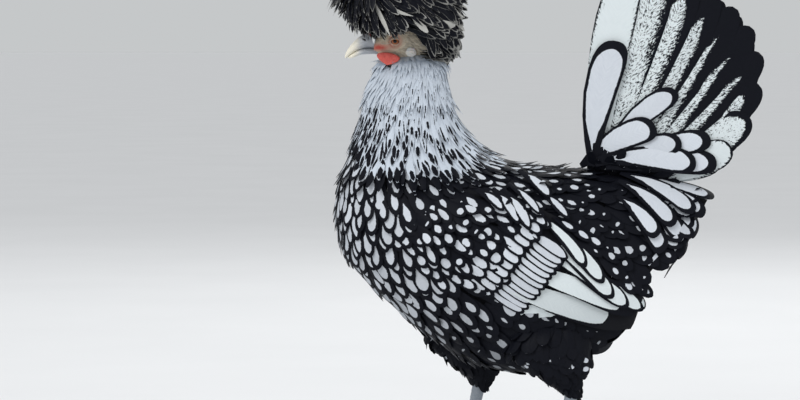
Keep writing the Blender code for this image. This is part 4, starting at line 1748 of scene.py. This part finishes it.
# %% Leg sizes
LEGS = {
    "left": {"side": -1, "hock": (19, 90), "ball": (10, 6), "lean": -9},
    "right": {"side": 1, "hock": (-53, 90), "ball": (-70, 6), "lean": 0},
}
LEG_SET = 34
THIGH_RINGS = (
    # height; front and back from the hock; half width
    (146, -16, 10, 4),
    (139, -37, 18, 13),
    (125, -46, 24, 18),
    (108, -38, 24, 19),
    (94, -25, 16, 15),
    (84, -14, 10, 10.5),
    (77, -8, 7, 7.6),
)
SHANK_RADII = (6.2, 5.2, 4.9, 5.2, 6.4)
BALL_RINGS = ((-3, -0.5, 7.4), (-6.4, -0.5, 5))
TOES = {
    # turn from forwards, length, joints, rise at the root, claw
    "middle": (0, 60, 3, 0, 12),
    "inner": (-38, 44, 3, 0, 12),
    "outer": (38, 46, 3, 0, 12),
    "hind": (196, 21, 2, 9, 9),
}
TOE_START = 6.5
TOE_RADIUS = 3.7
TOE_TAPER = 0.32
TOE_PAD = 0.1
TOE_SOLE_DEPTH = 0.35
CLAW_GAP = 0.3
CLAW_RADIUS = 2.1
CLAW_TAPER = 0.8
CLAW_ARCH = 1.1
CLAW_ARCH_TURN = 0.8 * pi
CLAW_TIP_HEIGHT = 0.9
CLAW_DROP_CURVE = 1.6
SHANK_SCUTE = 4.2
TOE_SCUTE = 3.1
SCUTE_HEIGHT = 0.5
RINGS_PER_SCUTE = 5


def scutes(length, rows):
    """Overlapping plates of the given length, in one or two rows over the front."""

    def relief(run, turn):
        front = np.clip((np.cos(turn) + 0.25) / 0.6, 0, 1)
        stagger = 0.5 * (np.sin(turn) > 0) if rows == 2 else 0
        saw = (run / length + stagger) % 1
        split = 0.35 * np.exp(-((turn_from_front(turn) / 0.16) ** 2)) if rows == 2 else 0
        return SCUTE_HEIGHT * front * (saw - 0.75) - split * front

    return relief


def turn_from_front(turn):
    return np.abs((turn + pi) % (2 * pi) - pi)


def toe_path(leg, toe_name, samples):
    turn, length, joints, rise, _ = TOES[toe_name]
    yaw = radians(turn) * leg["side"]
    ahead = np.array([-cos(yaw), sin(yaw), 0])
    share = np.linspace(0, 1, samples)
    pad = TOE_PAD * np.cos(2 * pi * share * joints)
    radii = TOE_RADIUS * (1 - TOE_TAPER * share + pad)
    path = np.array([leg["ball"][0], leg["side"] * LEG_SET, 0], float)
    path = path + ahead * (TOE_START + length * share)[:, None]
    path[:, 2] = radii - TOE_SOLE_DEPTH + rise * (1 - share) ** 2
    return path, radii, ahead


def resting(rings):
    """Rings whose lowest points are flat on the floor."""
    rings[..., 2] = np.maximum(rings[..., 2], 0)
    return rings


def make_toe(side_name, toe_name):
    leg = LEGS[side_name]
    samples = int(TOES[toe_name][1] / TOE_SCUTE * RINGS_PER_SCUTE)
    path, radii, ahead = toe_path(leg, toe_name, samples)
    start = path[0] - ahead * 3
    path = np.concatenate([[start], path])
    radii = np.concatenate([[radii[0] * 0.8], radii])
    across = np.cross((0, 0, 1), ahead)
    rings = pipe_rings(path, radii, -across, 16, scutes(TOE_SCUTE, 1))
    return grow(f"toe_{toe_name}_{side_name}_form", resting(rings))


def make_shank(side_name):
    leg = LEGS[side_name]
    hock, ball = (
        np.array([leg[end][0], leg["side"] * LEG_SET, leg[end][1]], float)
        for end in ("hock", "ball")
    )
    last = len(SHANK_RADII) - 1
    stations = [
        (*(hock + (ball - hock) * i / last), radius) for i, radius in enumerate(SHANK_RADII)
    ]
    for drop, forward, radius in BALL_RINGS:
        stations.append((ball[0] + forward, ball[1], ball[2] + drop, radius))
    samples = int(leg["hock"][1] / SHANK_SCUTE * RINGS_PER_SCUTE)
    values = between(stations, np.linspace(0, len(stations) - 1.05, samples))
    rings = pipe_rings(
        values[:, :3], values[:, 3], (0, 1, 0), 24, scutes(SHANK_SCUTE, 2)
    )
    return grow(f"shank_{side_name}_form", resting(rings))


def on_thigh(side_name):
    leg = LEGS[side_name]
    top, low = THIGH_RINGS[0][0], THIGH_RINGS[-1][0]

    def point_at(place, angle):
        height, front, back, wide = np.moveaxis(between(THIGH_RINGS, place), -1, 0)
        x = leg["hock"][0] + (front + back) / 2 + (back - front) / 2 * np.cos(angle)
        x = x + leg["lean"] * np.sin(np.clip((top - height) / (top - low), 0, 1) * pi)
        y = leg["side"] * LEG_SET + wide * np.sin(angle)
        return np.stack([x, y, height], -1)

    return point_at


# %% [markdown]
# ## The skin
#
# On a real bird one skin runs from the bill to the toes. Here the forms of the flesh
# are drawn in by the depth of the coat, and joined by Boolean unions, so that no seam
# is left where a leg or the head begins. Between the vanes it shows only as shade, but
# the face, shanks and toes are bare, and need folds, lids and scales of their own.

# %% Skin depths
COAT_DEPTH = {"body": 7.5, "crest": 11, "wing": 5.5, "thigh": 4.5, "head": 0.4}
BODY_AROUND = 40
HEAD_AROUND = 44
EYE_PLACE = (-125, 364.5)
EYE_RADIUS = 4.6
EYE_SET = 10.6
LID_THICKNESS = 0.75


def wing_points(side):
    def point_at(place, angle):
        points = on_wing(place, angle)
        points[..., 1] *= side
        return points

    return point_at


def lids(side_name):
    """A ring of skin round the eye: the upper lid full, the lower one thin."""
    torus = bpy.ops.mesh.primitive_torus_add
    segments = {"major_segments": 40, "minor_segments": 10}
    ring = added(f"lids_{side_name}", torus, major_radius=1, minor_radius=0.4, **segments)
    ball = EYE_RADIUS + 0.1
    for vertex in ring.data.vertices:
        x, y, z = vertex.co
        turn = atan2(y, x)
        rise = sin(turn)
        wide = 4.3
        tall = 2.6 if rise > 0 else 3.2
        thick = LID_THICKNESS * (1.25 if rise > 0 else 0.9)
        outward = (Vector((x, y)).length - 1) / 0.4 * thick
        flat_x = (wide + outward) * cos(turn)
        flat_z = (tall + outward) * sin(turn)
        lying = max(ball**2 - flat_x**2 - flat_z**2, 1.2) ** 0.5
        out = EYE_SET + lying + z / 0.4 * thick * 0.8
        place = (EYE_PLACE[0] + flat_x, SIDES[side_name] * out, EYE_PLACE[1] + flat_z)
        vertex.co = Vector(place) * MM
    face_outwards(ring)
    return ring


def face_folds(points):
    """The head's points with a socket round each eye and folds across the cheek."""
    x, y, z = points[..., 0], points[..., 1], points[..., 2]
    gap = np.hypot(x - EYE_PLACE[0], z - EYE_PLACE[1])
    socket = np.exp(-((gap / 4.2) ** 2)) * 2.4
    brow = np.exp(-(((gap - 6.6) / 1.6) ** 2)) * 0.7
    fold = 0.22 * np.sin(gap * 2.1) * np.exp(-((gap - 9) / 5) ** 2)
    side = np.sign(y) * np.clip(np.abs(y) / 6, 0, 1)
    points[..., 1] += side * (brow + fold - socket)
    return points


def make_skin():
    last = len(BODY_SECTIONS) - 1
    skin = grow("skin", ring_stack(on_body, np.arange(0, last + 0.1, 0.5), BODY_AROUND))
    shrink(skin, COAT_DEPTH["body"])
    head_stops = np.linspace(0, len(HEAD_SECTIONS) - 1, 36)
    head = grow("head_form", face_folds(ring_stack(on_head, head_stops, HEAD_AROUND)))
    shrink(head, COAT_DEPTH["head"])
    crest_stops = np.arange(0, len(CREST_SECTIONS) - 0.9, 0.5)
    crest = grow("crest_form", ring_stack(on_crest, crest_stops, 28))
    shrink(crest, COAT_DEPTH["crest"])
    joined = [head, crest]
    for side_name, side in SIDES.items():
        wing_stops = np.arange(0.3, len(WING_SECTIONS) - 1.2, 0.5)
        wing = grow(f"wing_{side_name}_form", ring_stack(wing_points(side), wing_stops, 28))
        shrink(wing, COAT_DEPTH["wing"])
        thigh_stops = np.arange(0, len(THIGH_RINGS) - 0.9, 0.5)
        thigh = grow(
            f"thigh_{side_name}_form", ring_stack(on_thigh(side_name), thigh_stops, 24)
        )
        shrink(thigh, COAT_DEPTH["thigh"])
        joined += [wing, thigh, lids(side_name), make_shank(side_name)]
        joined += [make_toe(side_name, toe_name) for toe_name in TOES]
    for form in joined:
        union = skin.modifiers.new(form.name, "BOOLEAN")
        union.operation = "UNION"
        union.solver = "MANIFOLD"
        union.object = form
    apply_all(skin)
    for form in joined:
        bpy.data.meshes.remove(form.data)
    return skin


SKIN = make_skin()
print("skin faces:", len(SKIN.data.polygons))

# %% [markdown]
# The skin's finish has four regions: bare face, scaled leg, white neck and the laced
# body, where round cells repeat the lacing of the vanes above. Which region a point
# belongs to is worked out once, and kept with the vertices as attributes.

# %% The skin's regions and finish
GAPE = (-138, 359.5)
FACE_BOX = {"back": -90, "low": 345, "high": 383, "half": 20}
UNDER_CREST = {"low": 374, "half": 16}  # where the head passes into the crest's shade
HOCK_HEIGHT = 80


def store(mesh, name, values):
    layer = mesh.attributes.new(name, "FLOAT", "POINT")
    layer.data.foreach_set("value", np.asarray(values, np.float32))


def mark_skin(mesh):
    points = np.empty(len(mesh.vertices) * 3)
    mesh.vertices.foreach_get("co", points)
    x, y, z = points.reshape(-1, 3).T / MM
    head = (x < FACE_BOX["back"]) & (z > FACE_BOX["low"]) & (z < FACE_BOX["high"])
    head &= np.abs(y) < FACE_BOX["half"]
    store(mesh, "leg", np.clip((HOCK_HEIGHT + 2 - z) / 4, 0, 1))
    under_crest = np.clip((z - UNDER_CREST["low"]) / 2, 0, 1)
    under_crest += np.clip((np.abs(y) - UNDER_CREST["half"]) / 1.5, 0, 1)
    bare = head * np.clip((-98 - x) / 8, 0, 1) * (1 - np.clip(under_crest, 0, 1))
    store(mesh, "bare", bare)
    flush = np.exp(-(((x - GAPE[0]) / 8) ** 2 + ((z - GAPE[1]) / 2.8) ** 2))
    ring = np.hypot(x - EYE_PLACE[0], z - EYE_PLACE[1])
    store(mesh, "flush", np.clip(flush + 0.4 * np.exp(-(((ring - 4.6) / 1.4) ** 2)), 0, 1))
    store(mesh, "white", np.clip((z - 255) / 60, 0, 1) * (z < 366) * (x < -50))
    store(mesh, "laced", np.clip((-60 - x) / 40, 0, 1))
    store(mesh, "dark", np.clip(under_crest, 0, 1) * (z > 358))


def skin_finish():
    look = Finish("hen_skin", Specular_IOR_Level=0.3)
    place = look.place()
    coarse = look.noise(place, 0.35, 3)
    fine = look.noise(place, 2.2, 3, 0.6)
    cells = look.node("TexVoronoi", {"Vector": place, "Scale": 0.09})
    laced = ((cells * -1 + 0.42) * 12).kept_in_range() * look.attribute("laced")
    hackle = look.attribute("white")
    pale = (laced + hackle * 2).kept_in_range()
    plumage = look.blend(pale, INK, (0.5, 0.52, 0.55))
    # The skin in and under the crest is painted black: partly the crest's own black, partly
    # painted shade under its hem.
    plumage = look.blend(look.attribute("dark"), plumage, INK)
    cheek = look.blend(coarse, (0.51, 0.41, 0.29), (0.66, 0.59, 0.47))
    red = look.blend(fine, (0.42, 0.05, 0.035), (0.60, 0.11, 0.08))
    face = look.blend((look.attribute("flush") * (coarse + 0.6)).kept_in_range(), cheek, red)
    plate = look.blend(coarse, (0.16, 0.19, 0.23), (0.30, 0.33, 0.37))
    worn = ((fine - 0.52) * 6).kept_in_range()
    scale = look.blend(worn * 0.5, plate, (0.42, 0.43, 0.43))
    leg = look.attribute("leg")
    bare = look.attribute("bare")
    colour = look.blend(leg, look.blend(bare, plumage, face), scale)
    look.colour(colour, 0.97 - leg.larger(bare) * 0.35 - leg * 0.14)
    pores = look.node("TexVoronoi", {"Vector": place, "Scale": 1.4})
    look.relief(pores * bare + fine * 0.7, 0.6, 0.35)
    return look.material


FLESH = (
    "neck", "trunk", "cushion", "head", "thigh_left", "thigh_right",
    "shank_left", "shank_right",
    *(f"toe_{toe_name}_{side_name}" for side_name in SIDES for toe_name in TOES),
)
mark_skin(SKIN.data)
finish_piece(SKIN, skin_finish(), FLESH, 50)

# %% [markdown]
# ## Bill and comb
#
# The upper half of the bill hooks over the lower one. It is blue-grey horn at its base
# and cream at its tip. Polish fowls have wide, raised nostrils, so the base carries a
# swelling on each side with a slit in it. The comb is a pair of short red horns.

# %% Bill
UPPER_BEAK_SECTIONS = (
    # top x, z; bottom x, z; half width
    (-147, 371.5, -140, 358.2, 6.4),
    (-154.5, 368, -147.5, 358.8, 5.7),
    (-160.8, 362, -154.5, 357.4, 4.7),
    (-165, 355.8, -160, 354.5, 3.2),
    (-166.2, 351.6, -165.2, 350.4, 1),
)
LOWER_BEAK_SECTIONS = (
    (-137, 358.2, -137, 353.8, 5.8),
    (-147.5, 358.9, -147.5, 354, 5.5),
    (-154.5, 357.5, -154.5, 352.9, 4.6),
    (-160, 354.4, -159.6, 350.9, 2.9),
    (-163.6, 352, -163, 350.5, 1),
)
NOSTRIL = (-150.2, 366)
NOSTRIL_SWELL = 1.3
NOSTRIL_DEPTH = 2.2


def nostrils(points):
    """Raises a swelling on both sides of the bill's base and sinks a slit in it."""
    x, y, z = points[..., 0], points[..., 1], points[..., 2]
    along = (x - NOSTRIL[0]) * 0.86 - (z - NOSTRIL[1]) * 0.5
    over = (x - NOSTRIL[0]) * 0.5 + (z - NOSTRIL[1]) * 0.86
    swell = NOSTRIL_SWELL * np.exp(-((along / 3.6) ** 2) - (over / 2.4) ** 2)
    slit = NOSTRIL_DEPTH * np.exp(-((along / 1.7) ** 4) - (over / 0.62) ** 4)
    points[..., 1] += np.sign(y) * np.clip(np.abs(y) / 2, 0, 1) * (swell - slit)
    return points


def horn_finish():
    look = Finish("bill_horn", Specular_IOR_Level=0.45, Coat_Weight=0.15)
    place = look.place()
    x = look.node("SeparateXYZ", {0: place})
    streak = look.noise(look.place((0.35, 1.6, 1.6)), 1, 3)
    toward_tip = ((x * -1 - 150 + (streak - 0.5) * 5) / 9).kept_in_range()
    stops = (
        (0, (0.33, 0.35, 0.38)),
        (0.35, (0.48, 0.49, 0.50)),
        (0.75, (0.72, 0.69, 0.60)),
        (1, (0.80, 0.76, 0.64)),
    )
    ramp = look.node("ValToRGB", {0: toward_tip}, {"stops": stops})
    # The nostril's sunk slit is painted near black: painted shade in its opening.
    slit = look.attribute("slit")
    look.colour(look.blend(slit, ramp, (0.03, 0.02, 0.02)), 0.36 + streak * 0.14)
    look.relief(streak, 0.3, 0.2)
    return look.material


def make_bill(finish):
    for name, sections in (
        ("beak_upper", UPPER_BEAK_SECTIONS),
        ("beak_lower", LOWER_BEAK_SECTIONS),
    ):
        stops = np.linspace(0, len(sections) - 1, 90)
        rings = ring_stack(on_form(sections), stops, 64)
        plain = rings[..., 1].copy()
        if name == "beak_upper":
            rings = nostrils(rings)
        bill = grow(f"{name}_horn", rings)
        shape = bill.data
        y = np.array([vertex.co.y for vertex in shape.vertices]) / MM
        sunk = np.clip((np.abs(plain.ravel()) - np.abs(y)) / 0.5, 0, 1)
        store(shape, "slit", sunk)
        finish_piece(bill, finish, (name,))


make_bill(horn_finish())


# %% Comb, wattles and earlobes
def bare_skin_finish(name, deep, light, pebble, roughness, depth=0.4):
    look = Finish(name, Specular_IOR_Level=0.4, Subsurface_Weight=0.12)
    look.shader.inputs["Subsurface Radius"].default_value = (0.006, 0.002, 0.001)
    look.shader.inputs["Subsurface Scale"].default_value = 0.5
    place = look.place()
    bumps = look.node("TexVoronoi", {"Vector": place, "Scale": pebble})
    mottle = look.noise(place, 0.4, 3)
    fine = look.noise(place, 3, 2)
    # The colour turns deeper where the pebbles' relief is low: painted shade in the creases
    # between them, over the skin's own mottle.
    look.colour(look.blend((mottle + bumps * 0.35 - 0.2).kept_in_range(), light, deep))
    look.feed(look.shader.inputs["Roughness"], fine * 0.2 + roughness)
    look.relief(bumps * -1 + fine * 0.3, 0.8, depth)
    return look.material


COMB_PLACE = (-146.5, 369.5)
COMB_HORN_HEIGHT = 5.5
COMB_HORN_SPREAD = 5
COMB_HORN_LEAN = 0.25
COMB_RADII = (1.9, 0.7)
WATTLE_PLACE = (-130.5, 351.8)
WATTLE_SET = 14.4
WATTLE_TURN = 19
WATTLE_DROP = 8
WATTLE_SIZE = (10, 1.7, 6.4)
EARLOBE_PLACE = (-112, 356)
EARLOBE_SET = 16.4
EARLOBE_SIZE = (4.5, 1.5, 4.1)


def blob(name, centre, shape, turn=Matrix()):
    """A round piece: a sphere whose points a function of the unit sphere moves."""
    sphere = bpy.ops.mesh.primitive_uv_sphere_add
    piece = added(name, sphere, segments=40, ring_count=26, radius=1)
    for vertex in piece.data.vertices:
        x, z, y = vertex.co
        moved = turn @ Vector(shape(x, -y, z))
        vertex.co = (moved + Vector(centre)) * MM
    return piece


def wattle_shape(x, y, z):
    """A soft leaf: nearly straight above, pointed below."""
    long, thick, deep = WATTLE_SIZE
    depth = deep * (1.05 - 0.4 * abs(x)) if z < 0 else deep * 0.55
    pleat = 0.22 * sin(x * 9 + z * 3) * (1 - z * z)
    return x * long, y * (thick + pleat), z * depth


def earlobe_shape(x, y, z):
    long, thick, deep = EARLOBE_SIZE
    return x * long * (1 - 0.12 * z), y * (thick + 0.15 * sin(z * 11)), z * deep


def comb_rings():
    share = np.linspace(-1, 1, 33)
    rise = COMB_HORN_HEIGHT * share**2
    path = np.stack(
        [
            COMB_PLACE[0] - rise * COMB_HORN_LEAN,
            COMB_HORN_SPREAD * share,
            COMB_PLACE[1] + rise,
        ],
        -1,
    )
    thick, thin = COMB_RADII
    radii = thick - (thick - thin) * np.abs(share) ** 1.5
    radii = radii + 0.18 * np.sin(share * 31)
    return pipe_rings(path, radii, (1, 0, 0), 16)


# The comb is painted a far darker red than the wattles: painted shade, as it lies under the
# crest's hem.
SHADED_COMB_RED = bare_skin_finish("shaded_comb_red", (0.13, 0.015, 0.015), (0.26, 0.03, 0.025), 1.2, 0.5)
WATTLE_RED = bare_skin_finish("wattle_red", (0.52, 0.06, 0.05), (0.76, 0.15, 0.12), 1.1, 0.5)
LOBE_WHITE = bare_skin_finish("lobe_white", (0.62, 0.58, 0.54), (0.80, 0.78, 0.75), 0.9, 0.5, 0.3)
finish_piece(grow("comb_horns", comb_rings()), SHADED_COMB_RED, ("comb",))
for side_name, side in SIDES.items():
    hang = Matrix.Rotation(radians(WATTLE_TURN) * side, 3, "Z")
    hang = hang @ Matrix.Rotation(radians(WATTLE_DROP), 3, "Y")
    place = (WATTLE_PLACE[0], side * WATTLE_SET, WATTLE_PLACE[1])
    piece = blob(f"wattle_{side_name}_skin", place, wattle_shape, hang)
    finish_piece(piece, WATTLE_RED, (f"wattle_{side_name}",))
    place = (EARLOBE_PLACE[0], side * EARLOBE_SET, EARLOBE_PLACE[1])
    piece = blob(f"earlobe_{side_name}_skin", place, earlobe_shape)
    finish_piece(piece, LOBE_WHITE, (f"earlobe_{side_name}",))

# %% [markdown]
# ## Eyes
#
# A fowl's eye is a ball with a clear front, a reddish bay iris and a round pupil. The
# iris is painted by the distance from the eye's axis, and a glossy coat over it all
# gives the wet highlight.

# %% Eyes
PUPIL_RADIUS = 1.5
IRIS_RADIUS = 2.9


def eye_finish():
    look = Finish("bay_eye", Roughness=0.3, Specular_IOR_Level=0.15, Coat_Weight=0.4)
    look.shader.inputs["Coat Roughness"].default_value = 0.02
    place = look.place()
    x = look.node("SeparateXYZ", {0: place})
    z = look.node("SeparateXYZ", {0: place}, output=2)
    reach = ((x - EYE_PLACE[0]) ** 2 + (z - EYE_PLACE[1]) ** 2) ** 0.5
    spokes = look.noise(place, 1.6, 4, 0.7)
    stops = (
        (0, (0.30, 0.10, 0.03)),
        (0.6, (0.44, 0.12, 0.035)),
        (1, (0.16, 0.03, 0.015)),
    )
    iris = (reach - PUPIL_RADIUS) / (IRIS_RADIUS - PUPIL_RADIUS) + (spokes - 0.5)
    ring = look.node("ValToRGB", {0: iris.kept_in_range()}, {"stops": stops})
    pupil = ((reach - PUPIL_RADIUS) * 6 + 0.5).kept_in_range()
    white = ((reach - IRIS_RADIUS) * 3 + 0.5).kept_in_range()
    inner = look.blend(pupil, (0.003, 0.003, 0.003), ring)
    look.colour(look.blend(white, inner, (0.10, 0.05, 0.04)))
    return look.material


def eye_shape(x, y, z):
    """A ball with a slightly flattened front."""
    flat = 1 - 0.05 * abs(y) ** 6
    return x * EYE_RADIUS, y * EYE_RADIUS * flat, z * EYE_RADIUS


BAY = eye_finish()
for side_name, side in SIDES.items():
    centre = (EYE_PLACE[0], side * EYE_SET, EYE_PLACE[1])
    eye = blob(f"eye_{side_name}_ball", centre, eye_shape)
    finish_piece(eye, BAY, (f"eye_{side_name}",))


# %% Claws
def claw_finish():
    look = Finish("claw_horn", Specular_IOR_Level=0.45)
    grain = look.noise(look.place((0.8, 0.8, 2)), 1, 3)
    look.colour(look.blend(grain, (0.20, 0.18, 0.16), (0.50, 0.46, 0.40)), grain * 0.2 + 0.3)
    look.relief(grain, 0.3, 0.2)
    return look.material


def make_claw(side_name, toe_name, finish):
    leg = LEGS[side_name]
    path, _, ahead = toe_path(leg, toe_name, 40)
    root_height = path[-1][2]
    length = TOES[toe_name][4]
    share = np.linspace(0, 1, 20)
    reach = -1.2 + CLAW_GAP + (length + 1.2) * share
    line = path[-1] + ahead * reach[:, None]
    arch = CLAW_ARCH * np.sin(CLAW_ARCH_TURN * share)
    drop = (root_height - CLAW_TIP_HEIGHT) * share**CLAW_DROP_CURVE
    line[:, 2] = root_height + arch - drop
    radii = CLAW_RADIUS * (1 - CLAW_TAPER * share**1.5)
    across = np.cross((0, 0, 1), ahead)
    claw = grow(
        f"claw_{toe_name}_{side_name}_horn",
        resting(pipe_rings(line, radii, -across, 16)),
    )
    finish_piece(claw, finish, (f"claw_{toe_name}_{side_name}",))


CLAW_HORN = claw_finish()
for side_name in SIDES:
    for toe_name in TOES:
        make_claw(side_name, toe_name, CLAW_HORN)

# %% [markdown]
# ## Thighs and face
#
# The thighs carry soft black fluff with a few pale crescents. On the cheeks and throat
# the vanes are the smallest of all, a few millimetres long, and leave the skin round
# the eye, the lobe and the wattle bare.

# %% Thigh fluff
THIGH_TRIES = 7000
CRESCENT_SHARE = 0.1
THIGH_TOP = (141, 0.377)  # its z at x 0, and how fast it falls backwards


def thigh_coat(side_name):
    dice = np.random.default_rng(61 + SIDES[side_name])
    lie = lie_on(on_thigh(side_name), *candidates(0.9, 5.4, THIGH_TRIES, dice))
    x, _, z = lie["root"].T
    lie = chosen(lie, z < THIGH_TOP[0] - THIGH_TOP[1] * x)
    lie = led(lie, unit(lie["along"] + (0.25, 0, 0)))
    gap = np.interp(lie["place"], (0, 6), (7.5, 4.5))
    order, lie = well_spaced(lie, gap, gap * 0.8)
    place, angle = lie["place"], lie["angle"]
    count = len(order)
    laced = (dice.uniform(0, 1, count) < CRESCENT_SHARE) & (place < 2.8)
    length = np.interp(place, (0, 3.5, 5), (26, 18, 9)) * dice.uniform(0.9, 1.1, count)
    half = np.interp(place, (0, 4, 6), (6, 4.6, 2.4))
    return bed(
        turned(lie, dice.normal(0, radians(9), count)),
        np.stack([place / 6, (angle / (2 * pi) + (SIDES[side_name] > 0)) / 2], -1),
        length=length,
        half=half,
        rim=np.where(laced, 1.4, half),
        cap=3,
        field_from=np.where(laced, 0.68, 1),
        depth=4,
        lift=dice.uniform(-0.5, 0.6, count),
        roll=dice.normal(0, 0.1, count),
        sweep=dice.normal(0, 1, count),
    )


FLUFF = together(*[thigh_coat(side_name) for side_name in SIDES])
lay_vanes("coat_thighs", FLUFF, LACED, ("thigh_left", "thigh_right"))

# %% The small feathers of the face
FACE_TRIES = 24000


def face_coat():
    dice = np.random.default_rng(71)
    lie = lie_on(on_head, *candidates(0.4, 4.9, FACE_TRIES, dice))
    x, _, z = lie["root"].T
    from_eye = np.hypot(x - EYE_PLACE[0], z - EYE_PLACE[1] - 1)
    from_lobe = np.hypot(x - EARLOBE_PLACE[0], z - EARLOBE_PLACE[1])
    from_gape = np.hypot((x - GAPE[0] - 3) / 2.2, z - GAPE[1] + 1)
    bare = (from_eye < 7.5) | (from_lobe < 4) | (from_gape < 4)
    lie = chosen(lie, ~bare & (z < 376))
    gap = np.interp(lie["place"], (0, 3, 5), (1.7, 2.1, 2.6))
    order, lie = well_spaced(lie, gap, gap * 0.75)
    place, angle = lie["place"], lie["angle"]
    count = len(order)
    length = np.interp(place, (0, 2, 5), (2.6, 4.4, 7)) * dice.uniform(0.8, 1.2, count)
    throat = np.clip(-np.cos(angle), 0, 1)
    return bed(
        turned(led(lie, unit(lie["along"] + (0, 0, -0.35))), dice.normal(0, 0.2, count)),
        unwrapped(lie, 5),
        length=length * (1 + 0.8 * throat),
        half=np.interp(place, (0, 5), (0.6, 1.3)),
        rim=9,
        field_from=1,
        inside=-1,
        sharp=0.8,
        depth=0.9,
        lift=dice.uniform(0.1, 0.7, count) + throat,
        thick=0.15,
        roll=dice.normal(0, 0.15, count),
        tone=dice.uniform(0.78, 1, count),
    )


SMALL_STOPS = ((0, 0.5, 1), (1,), (0,))
FACE_DOWN = plumage_finish("face_down", (0.68, 0.64, 0.54), (0.56, 0.48, 0.37), INK)
lay_vanes("coat_face", face_coat(), FACE_DOWN, ("head",), SMALL_STOPS)
